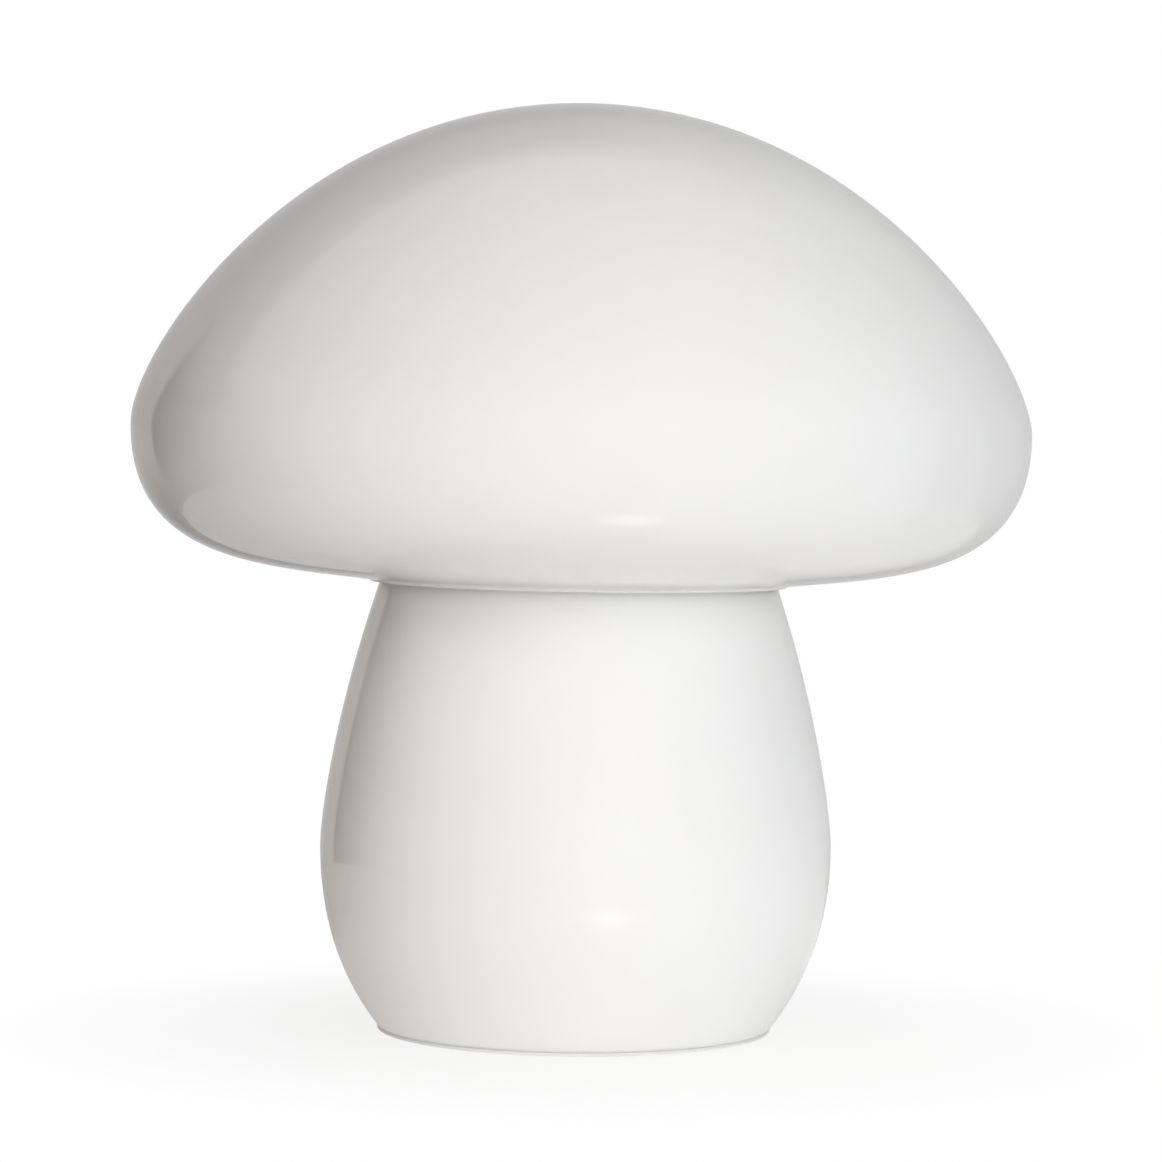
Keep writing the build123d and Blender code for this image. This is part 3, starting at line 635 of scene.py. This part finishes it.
circuit_board = finish("green_lacquered_glass_fibre", ("1C5631", "286C3D"), 3, (0.25, 0.35),
                       (0.6, 0.01), {"IOR": 1.55})
brown_cover = finish("brown_wire_insulation", ("472817", "593420"), 4, (0.35, 0.45), (0.5, 0.01),
                     {"IOR": 1.53})
blue_cover = finish("blue_wire_insulation", ("1A4A94", "2459AC"), 4, (0.35, 0.45), (0.5, 0.01),
                    {"IOR": 1.53})
print(len(bpy.data.materials), "materials so far")

# %% [markdown]
# ## The cord gland
# The cord leaves through a hole low in the stem's back, square to the glass. A soft bush with a
# flange on each side lines the hole, so that the cord never rubs on glass. It is turned upright
# and then laid in the hole by one matrix, which also places the drill. Its axis is the direction
# that the outline of the stem faces at that height.

# %% Drill the stem and fit the gland
gland_out = Vector((0, 0.888495, -0.458886))
gland_place = Matrix.Translation(Vector((0, 73.801, 17.0)) * MM)
gland_place = gland_place @ gland_out.to_track_quat("Z", "Y").to_matrix().to_4x4()
bore, barrel, flange = 3.25, 4.45, 6.25
half_barrel, half_length, hole_gap = 2.0, 3.2, 0.1
cut(stem, drill(barrel + hole_gap, 4 * wall, gland_place))
gland = turned("cord_bush", [
    (bore, -half_length, 0.5), (flange, -half_length, 0.5), (flange, -half_barrel, 0.2),
    (barrel, -half_barrel, 0.2), (barrel, half_barrel, 0.2), (flange, half_barrel, 0.2),
    (flange, half_length, 0.5), (bore, half_length, 0.5),
], 64)
gland.data.transform(gland_place)
stand_for(gland, "stem", "clear_silicone", silicone, "cord_gland")

# %% [markdown]
# ## The seat of the cap, the gasket and the feet
# A thin soft band on the neck's taper carries the cap's lip. A flat gasket lies between the ground
# foot and the plate, and four low bumpers keep the plate off the table.

# %% Seat band, gasket and bumpers
seat_height = 6.0
seat_bottom = lip_middle_height - seat_thickness
seat_top = seat_bottom + seat_height
near, far = seat_clearance / cos(neck_taper), (seat_clearance + seat_thickness) / cos(neck_taper)
seat = turned("cap_seat_band", [
    (neck(seat_bottom) + near, seat_bottom, 0.2), (neck(seat_bottom) + far, seat_bottom, 0.3),
    (neck(seat_top) + far, seat_top, 0.3), (neck(seat_top) + near, seat_top, 0.2),
], 192)
stand_for(seat, "seat_ring", "clear_silicone", silicone, "cap_seat_ring")

flange_bottom, flange_top = 0.6, 1.6
gasket_inner, gasket_outer = 62.4, 65.8
gasket = turned("foot_gasket_ring", [
    (gasket_inner, flange_top, 0.1), (gasket_outer, flange_top, 0.05),
    (gasket_outer, foot_height, 0.05), (gasket_inner, foot_height, 0.1),
], 192)
stand_for(gasket, "stem", "clear_silicone", silicone, "foot_gasket")

bumper_distance, bumper_foot, bumper_radius = 58.4, 4.6, 5.0
bumpers = turned("base_bumper_set", [
    (0, 0, 0), (bumper_foot, 0, 0.25), (bumper_radius, flange_bottom, 0), (0, flange_bottom, 0),
], 48, closed=False)
bumpers.data.transform(Matrix.Translation((bumper_distance * MM, 0, 0)))
repeat(bumpers, 4, 45)
stand_for(bumpers, "stem", "clear_silicone", silicone, "base_bumpers")

# %% [markdown]
# ## The base plate
# The foot is closed by a pressed pan of sheet steel: a flat flange under the glass, a sloping
# wall, and a raised deck that carries the tube and the terminal block. Its rim is the thin bright
# band below the glass. Sheet bends in arcs, so each bend has the sheet's inner and outer radius.

# %% Press the base plate
tube_radius, thread_gap = 5.0, 0.05
loose_bore = tube_radius + thread_gap
deck_bottom, deck_top = 11.1, 12.1
slope_foot, slope_head, slope_shift = 50.9, 45.9, 0.5
outer_bend, inner_bend = 3.0, 2.0
block_distance = 33.0
screw_radius = 1.4
plate = turned("base_pan", [
    (foot_radius, flange_bottom, 0.4), (slope_foot, flange_bottom, outer_bend),
    (slope_head, deck_bottom, inner_bend), (loose_bore, deck_bottom, 0.15),
    (loose_bore, deck_top, 0.15), (slope_head + slope_shift, deck_top, outer_bend),
    (slope_foot + slope_shift, flange_top, inner_bend), (foot_radius, flange_top, 0.15),
], 192)
screw_place = Matrix.Translation(Vector((0, block_distance, deck_bottom)) * MM)
cut(plate, drill(screw_radius + thread_gap, 6, screw_place))
stand_for(plate, "stem", "white_steel", powder_coat, "base_plate")

# %% [markdown]
# ## Threads
# A thread is one tooth wound round the axis while it climbs, which is what spin does when it is
# given a step along the axis. One turn is wound, and an Array modifier stacks the turns, a pitch
# apart and welded. That is much quicker than a hundred turns of spin. The ends are cut flat with
# a bisecting plane.

# %% Helpers for threads
def wind(tooth, pitch, turns, steps):
    """Winds the outline of one tooth, (radius, height) in millimetres, into an open thread."""
    bm = bmesh.new()
    draw(bm, [Vector((r, 0, z)) * MM for r, z in tooth])
    bmesh.ops.spin(bm, geom=bm.verts[:] + bm.edges[:], cent=(0, 0, 0), axis=AXIS,
                   dvec=(0, 0, pitch * MM / steps), angle=2 * pi, steps=steps)
    one = piece_from(bm, "one_turn")
    stack = one.modifiers.new("turns", "ARRAY")
    stack.count, stack.use_relative_offset, stack.use_constant_offset = turns, False, True
    stack.constant_offset_displace = (0, 0, pitch * MM)
    stack.use_merge_vertices, stack.merge_threshold = True, 1e-5
    bake(one)
    bm = bmesh.new()
    bm.from_mesh(one.data)
    bpy.data.objects.remove(one)
    bmesh.ops.remove_doubles(bm, verts=bm.verts, dist=1e-5)
    return bm


def trim(bm, height, keep):
    """Cuts a tube flat, keeps what is above (1) or below (-1) and returns the open edge."""
    bmesh.ops.bisect_plane(bm, geom=bm.verts[:] + bm.edges[:] + bm.faces[:], dist=1e-8,
                           plane_co=(0, 0, height * MM), plane_no=(0, 0, -keep), clear_outer=True)
    return [e for e in bm.edges
            if e.is_boundary and all(abs(v.co.z - height * MM) < 1e-6 for v in e.verts)]


# %% [markdown]
# ## The centre tube
# One threaded tube, with a pitch of one millimetre, holds the whole lamp together: the plate at
# its foot, the bridge in the neck and the lamp holder on top. The wires run up its bore, and a
# slot in its side lets them in.

# %% Wind the centre tube
tube_bottom, tube_top, tube_bore = 4.6, 151.1, 4.0
slot_bottom, slot_top = 17.5, 27.1
pitch, tooth_depth, tube_steps = 1.0, 0.55, 24
root = tube_radius - tooth_depth
crest = 0.2
start = tube_bottom - 1.3 * pitch
half = pitch / 2
bm = wind([(root, start), (tube_radius, start + half - crest / 2),
           (tube_radius, start + half + crest / 2),
           (root, start + pitch)], pitch, int(tube_top - tube_bottom) + 3, tube_steps)
walls = []
for height, keep in ((tube_bottom, 1), (tube_top, -1)):
    rim = trim(bm, height, keep)
    made = bmesh.ops.create_circle(bm, segments=tube_steps, radius=tube_bore * MM,
                                   matrix=Matrix.Translation((0, 0, height * MM)))
    circle = list({e for v in made["verts"] for e in v.link_edges})
    bmesh.ops.bridge_loops(bm, edges=rim + circle)
    walls += circle
bmesh.ops.bridge_loops(bm, edges=walls)
bmesh.ops.recalc_face_normals(bm, faces=bm.faces)
tube = piece_from(bm, "threaded_tube")
slot_width, slot_middle = 6.0, (slot_bottom + slot_top) / 2
cut(tube, brick((slot_width, slot_width, slot_top - slot_bottom), (0, tube_radius, slot_middle)))
stand_for(tube, "stem", "zinc_steel", zinc, "centre_tube")

# %% [markdown]
# ## Nuts and washers
# A hexagon nut is a chamfered disc cut to six flats, which is how its arched edges come about. So
# it is made that way: a turned disc, kept only where it meets a hexagonal bar.

# %% Nuts and washers on the tube
nut_flats, nut_height, washer_radius, washer_thickness = 14.0, 3.0, 9.0, 1.0
nut_corner = nut_flats / 2 / cos(pi / 6)
hub_bottom, hub_top = 131.6, 133.2


def nut(name, bottom, node):
    """A thin, chamfered hexagon nut."""
    top, face, edge = bottom + nut_height, nut_flats / 2 - 0.1, nut_corner + 0.1
    drop = (edge - face) * tan(pi / 6)
    made = turned(name, [
        (loose_bore, bottom, 0.3), (face, bottom, 0), (edge, bottom + drop, 0),
        (edge, top - drop, 0), (face, top, 0), (loose_bore, top, 0.3),
    ], 96)
    bm = bmesh.new()
    middle = Matrix.Translation((0, 0, (bottom + top) / 2 * MM))
    bmesh.ops.create_cone(bm, cap_ends=True, segments=6, radius1=nut_corner * MM,
                          radius2=nut_corner * MM, depth=2 * nut_height * MM, matrix=middle)
    cut(made, piece_from(bm, "hexagonal_bar"), "INTERSECT")
    stand_for(made, "stem", "zinc_steel", zinc, node)


def washer(name, bottom, node):
    """A flat washer with broken edges."""
    top = bottom + washer_thickness
    made = turned(name, [
        (loose_bore, bottom, 0.1), (washer_radius, bottom, 0.2), (washer_radius, top, 0.3),
        (loose_bore, top, 0.1),
    ])
    stand_for(made, "stem", "zinc_steel", zinc, node)


washer("washer_under_deck", deck_bottom - washer_thickness, "plate_washer")
nut("nut_under_deck", deck_bottom - washer_thickness - nut_height, "plate_lower_nut")
nut("nut_on_deck", deck_top, "plate_upper_nut")
washer("washer_on_bridge", hub_top, "bridge_washer")
nut("nut_on_bridge", hub_top + washer_thickness, "bridge_nut")

# %% [markdown]
# ## The bridge in the neck
# A pressed steel spider hangs in the neck by three arms that hook over the glass rim. Pulling the
# tube's nuts tight against it clamps plate, glass and bridge together. An arm is its side outline,
# filled and extruded to its width, and a Bevel modifier breaks the cut edges.

# %% Press the bridge and its pads
sheet, pad_lip, pad_gap, pad_drop, arm_width = 1.6, 1.5, 1.0, 4.0, 14.0
pad_bottom, arm_bottom, arm_top = 166.1, 167.6, 169.2
leg_outer = rim_inner.x - pad_gap - pad_lip
leg_inner = leg_outer - sheet
arm_root, arm_end, hub_radius = 8.0, rim_end.x, 16.0
inner_bend, outer_bend = 3.0, 4.6


def pressed(name, corners):
    """A bar of an arm's width with this side outline, given as (across, height, rounding)."""
    bm = bmesh.new()
    draw_corners(bm, corners)
    bmesh.ops.contextual_create(bm, geom=bm.edges[:])
    grown = bmesh.ops.extrude_face_region(bm, geom=bm.faces[:])["geom"]
    moved = [g for g in grown if isinstance(g, bmesh.types.BMVert)]
    bmesh.ops.translate(bm, vec=(0, arm_width * MM, 0), verts=moved)
    bmesh.ops.translate(bm, vec=(0, -arm_width / 2 * MM, 0), verts=bm.verts)
    bmesh.ops.recalc_face_normals(bm, faces=bm.faces)
    return piece_from(bm, name)


arms = pressed("arms", [
    (arm_root, hub_bottom, 0), (leg_outer, hub_bottom, outer_bend),
    (leg_outer, arm_bottom, inner_bend), (arm_end, arm_bottom, 0), (arm_end, arm_top, 0),
    (leg_inner, arm_top, outer_bend), (leg_inner, hub_top, inner_bend), (arm_root, hub_top, 0),
])
repeat(arms, 3, 90)
bridge = turned("neck_spider", [
    (loose_bore, hub_bottom, 0), (hub_radius, hub_bottom, 0), (hub_radius, hub_top, 0),
    (loose_bore, hub_top, 0),
])
cut(bridge, arms, "UNION")
edges = bridge.modifiers.new("broken_edges", "BEVEL")
edges.width, edges.segments, edges.limit_method, edges.angle_limit = 0.3 * MM, 2, "ANGLE", SHARP
stand_for(bridge, "stem", "zinc_steel", zinc, "neck_bridge")

pads = pressed("rim_pads", [
    (leg_outer, arm_bottom, inner_bend), (arm_end, arm_bottom, 0.2), (arm_end, pad_bottom, 0.4),
    (leg_outer + pad_lip, pad_bottom, 0.5), (leg_outer + pad_lip, rim_top - pad_drop, 0.3),
    (leg_outer, rim_top - pad_drop, 0.3),
])
repeat(pads, 3, 90)
stand_for(pads, "stem", "clear_silicone", silicone, "bridge_pads")

# %% [markdown]
# ## The lamp holder
# A moulded holder is screwed on the tube: a domed cap below, and a shell above that keeps the
# insert in. The shell has a ring of shallow grip grooves, as the real one has, so that a hand can
# turn it. They are made by insetting every third face of one band and sinking it.

# %% Mould the holder's cap and shell
holder_bottom, holder_seam, shell_top = 138.1, 159.1, 196.1
holder_radius, boss_radius, mouth_radius = 20.2, 8.5, 14.6
boss_top, dome_top = 143.1, 150.1
cap_inside, moulded_wall = 18.7, 1.5
holder_base = turned("holder_dome", [
    (loose_bore, holder_bottom, 0.3), (boss_radius, holder_bottom, 0.8),
    (boss_radius, boss_top, 0.8), (holder_radius, dome_top, 2.0),
    (holder_radius, holder_seam, 0.4), (cap_inside, holder_seam, 0.1),
    (cap_inside, dome_top + moulded_wall / 2, 1.0),
    (boss_radius - moulded_wall, boss_top + moulded_wall, 0.2),
    (loose_bore, boss_top + moulded_wall, 0.2),
])
grub_bore, boss_wall = 1.55, 3.4
grub_height = (holder_bottom + boss_top) / 2
grub_place = Matrix.Translation(Vector((0, -boss_radius, grub_height)) * MM)
grub_place = grub_place @ Matrix.Rotation(radians(90), 4, "X")
cut(holder_base, drill(grub_bore, 2 * boss_wall, grub_place))
stand_for(holder_base, "stem", "holder_plastic", holder_plastic, "holder_cap")

ledge_top, ledge_radius, shell_inside = 160.8, 19.55, 17.2
grip_bottom, grip_top, grip_depth = 166.0, 186.0, 0.4
bm = bmesh.new()
draw_corners(bm, [
    (ledge_radius, holder_seam, 0), (holder_radius, holder_seam, 0.25),
    (holder_radius, grip_bottom, 0), (holder_radius, grip_top, 0),
    (holder_radius, shell_top, 1.2), (mouth_radius, shell_top, 0.67),
    (mouth_radius, shell_top - 2, 0.3), (cap_inside, shell_top - 2, 0.5),
    (cap_inside, shell_top - 4, 0), (shell_inside, shell_top - 6, 0), (shell_inside, ledge_top, 0),
    (ledge_radius, ledge_top, 0),
])
turn(bm, 96)
bm.faces.ensure_lookup_table()
grip_middle = (grip_bottom + grip_top) / 2
band = [f for f in bm.faces
        if abs(f.calc_center_median().xy.length - holder_radius * MM) < 0.1 * MM
        and abs(f.calc_center_median().z - grip_middle * MM) < 1 * MM]
band.sort(key=lambda f: f.calc_center_median().xy.angle_signed(Vector((1, 0))))
bmesh.ops.inset_individual(bm, faces=band[::3], thickness=0.25 * MM, depth=-grip_depth * MM)
shell = piece_from(bm, "holder_sleeve")
print(len(band) // 3, "grip grooves")
stand_for(shell, "stem", "holder_plastic", holder_plastic, "holder_shell")

# %% [markdown]
# ## The bulb
# An LED bulb with an E27 cap. The cover is most of a sphere, so its outline is a vertex spun about
# the sphere's centre. The body below it flares from the cap to the cover. The screw shell is thin
# sheet rolled into a round thread, so it is wound, trimmed, and given a wall.

# %% Blow and mould the bulb
globe_radius, globe_centre, cover_wall, cover_cut = 30.0, 250.3, 1.2, 16.0
cover_bottom = globe_centre - cover_cut
cover_rim = sqrt(globe_radius ** 2 - cover_cut ** 2)
inner_radius = globe_radius - cover_wall
inner_rim = sqrt(inner_radius ** 2 - cover_cut ** 2)
middle = Vector((0, 0, globe_centre)) * MM
bm = bmesh.new()
rims = []
for rim, radius in ((cover_rim, globe_radius), (inner_rim, inner_radius)):
    start = bm.verts.new(Vector((rim, 0, cover_bottom)) * MM)
    arc = radians(90) + asin(cover_cut / radius)
    bmesh.ops.spin(bm, geom=[start], cent=middle, axis=(0, 1, 0), angle=-arc, steps=40)
    rims.append(start)
bm.edges.new(rims)
turn(bm, 128)
cover = piece_from(bm, "bulb_cover")
stand_for(cover, "bulb", "bulb_opal_plastic", cover_plastic, "bulb_diffuser")

thread_crest, shell_bottom, shell_rim = 13.0, 177.4, 199.4
collar, collar_bottom = 12.45, 193.9
seat_edge = inner_rim - cover_wall
board_bottom = cover_bottom - 1.6
half_way = (shell_rim + cover_bottom) / 2
below_cover = cover_bottom - 10.0
bm = bmesh.new()
outside = curve_points([(thread_crest, shell_rim), (thread_crest + cover_wall, half_way),
                        (cover_rim - 5.33, below_cover), (cover_rim, cover_bottom)], 40)
inside = curve_points([(seat_edge - 2.4, board_bottom), (seat_edge - 8.0, below_cover),
                       (collar - cover_wall, half_way), (collar - cover_wall, shell_rim)], 30)
steps_down = [(seat_edge, cover_bottom), (seat_edge, board_bottom)]
collar_line = [(collar - cover_wall, collar_bottom), (collar, collar_bottom), (collar, shell_rim),
               (thread_crest, shell_rim)]
draw(bm, outside + [Vector((r, 0, z)) * MM for r, z in steps_down] + inside
     + [Vector((r, 0, z)) * MM for r, z in collar_line])
turn(bm, 128)
body = piece_from(bm, "bulb_body")
stand_for(body, "bulb", "bulb_white_plastic", bulb_plastic, "bulb_housing")

# %% Wind the bulb's screw shell
edison_pitch, thread_wave, thread_steps = 3.629, 0.42, 48
thread_bottom, thread_top = 178.8, 193.2
wave_start = thread_bottom - 1.3 * edison_pitch
bm = wind([(thread_crest - thread_wave * (1 - cos(k * pi / 4)), wave_start + k * edison_pitch / 8)
           for k in range(9)], edison_pitch, 6, thread_steps)


def carry(bm, loop, radius, height):
    """Extrudes an open edge to another radius and height. Returns the new open edge."""
    grown = bmesh.ops.extrude_edge_only(bm, edges=loop)["geom"]
    for v in grown:
        if isinstance(v, bmesh.types.BMVert):
            v.co = (v.co * Vector((1, 1, 0))).normalized() * radius * MM
            v.co.z = height * MM
    return [g for g in grown if isinstance(g, bmesh.types.BMEdge)]


foot_loop = trim(bm, thread_bottom, 1)
carry(bm, carry(bm, foot_loop, 12.6, 178.2), 11.6, shell_bottom)
top_loop = trim(bm, thread_top, -1)
carry(bm, carry(bm, top_loop, thread_crest, thread_top + 0.4), thread_crest, shell_rim)
bmesh.ops.recalc_face_normals(bm, faces=bm.faces)
bmesh.ops.solidify(bm, geom=bm.faces[:], thickness=0.35 * MM)
screw_shell = piece_from(bm, "bulb_screw_cap")
stand_for(screw_shell, "bulb", "bulb_nickel", nickel, "bulb_screw_shell")

# %% [markdown]
# ## The terminal block
# The cord ends in a small moulded block on the deck. It is a box with its corners bevelled, bored
# through for the brass inserts and from above for the screws.

# %% Mould and drill the terminal block
block_size, block_middle = (21.0, 16.0, 14.0), 19.1
poles, screw_rows = (-5.0, 5.0), (-4.0, 4.0)
insert_bore, clamp_bore, fixing_bore = 2.65, 1.55, 1.45
bm = bmesh.new()
box_place = Matrix.LocRotScale(Vector((0, block_distance, block_middle)) * MM, None,
                               Vector(block_size) * MM)
bmesh.ops.create_cube(bm, size=1.0, matrix=box_place)
upright = [e for e in bm.edges if abs(e.verts[0].co.z - e.verts[1].co.z) > 1 * MM]
bmesh.ops.bevel(bm, geom=upright, affect="EDGES", offset=2 * MM, offset_type="OFFSET",
                segments=5, profile=0.5, material=-1)
flat = [e for e in bm.edges if abs(e.verts[0].co.z - e.verts[1].co.z) < 1e-6]
bmesh.ops.bevel(bm, geom=flat, affect="EDGES", offset=0.5 * MM, offset_type="OFFSET",
                segments=2, profile=0.5, material=-1)
block = piece_from(bm, "terminal_block_moulding")
lying = Matrix.Rotation(radians(90), 4, "X")
for x in poles:
    at = Matrix.Translation(Vector((x, block_distance, block_middle)) * MM)
    cut(block, drill(insert_bore, 30, at @ lying))
    for y in screw_rows:
        top = block_middle + block_size[2] / 2
        at = Matrix.Translation(Vector((x, block_distance + y, top)) * MM)
        cut(block, drill(clamp_bore, block_size[2], at))
at = Matrix.Translation(Vector((0, block_distance, block_middle)) * MM)
cut(block, drill(fixing_bore, 40, at))
stand_for(block, "stem", "holder_plastic", holder_plastic, "terminal_block")

# %% [markdown]
# ## Screws
# Each screw is turned and then slotted. The four clamping screws stand in the block, the fixing
# screw holds it to the deck, and a grub screw in the holder's boss locks the holder on the tube.

# %% Cut the screws
slot_across, slot_cut = 0.5, 1.3


def slotted(name, corners, top, node, places=((0, 0),), turn_to=Matrix()):
    """A turned screw with a straight slot across its top, set at each place in millimetres."""
    made = turned(name, corners, 32, closed=False)
    reach = 2.5 * max(r for r, _, _ in corners)
    cut(made, brick((reach, slot_across, slot_cut), (0, 0, top)))
    bm = bmesh.new()
    for x, y in places:
        copy = made.data.copy()
        copy.transform(Matrix.Translation((x * MM, y * MM, 0)) @ turn_to)
        bm.from_mesh(copy)
        bpy.data.meshes.remove(copy)
    bm.to_mesh(made.data)
    bm.free()
    stand_for(made, "stem", "zinc_steel", zinc, node)


clamp_foot, clamp_top = 20.2, 25.1
slotted("clamping_screws", [
    (0, clamp_foot, 0), (screw_radius, clamp_foot, 0.2), (screw_radius, clamp_top, 0.2),
    (0, clamp_top, 0),
], clamp_top, "block_screws", [(x, block_distance + y) for x in poles for y in screw_rows])
screw_foot, head_bottom, head_top, head_radius = 10.1, 26.1, 27.5, 2.8
slotted("fixing_screw", [
    (0, screw_foot, 0), (screw_radius, screw_foot, 0.2), (screw_radius, head_bottom, 0),
    (head_radius, head_bottom, 0.1), (head_radius, head_top, 0.4), (0, head_top, 0),
], head_top, "block_fixing_screw", [(0, block_distance)])
slotted("grub_screw", [(0, -3.5, 0), (1.1, -3.5, 0), (1.5, -3.1, 0), (1.5, 1.0, 0.2),
                       (0, 1.0, 0)], 1.0, "holder_grub_screw", turn_to=grub_place)

# %% [markdown]
# ## Pieces kept from the CAD model
# Small contacts, boards and wires have the right shape already, so only their finish is set. It
# goes into the node's own material slot, and its mesh stays as it is.

# %% Finish the pieces kept from the CAD model
kept = {
    "holder_insert": steatite, "holder_terminals": brass, "holder_side_contact": brass,
    "holder_centre_contact": brass, "holder_thread_sleeve": brass, "block_inserts": brass,
    "bulb_insulator": black_glass, "bulb_tip_contact": solder, "bulb_led_board": lacquered_board,
    "bulb_driver_board": circuit_board, "wire_live": brown_cover, "wire_neutral": blue_cover,
}
for name, coat in kept.items():
    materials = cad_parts[name].data.materials
    materials.clear()
    materials.append(coat)
print(len(kept), "pieces kept")
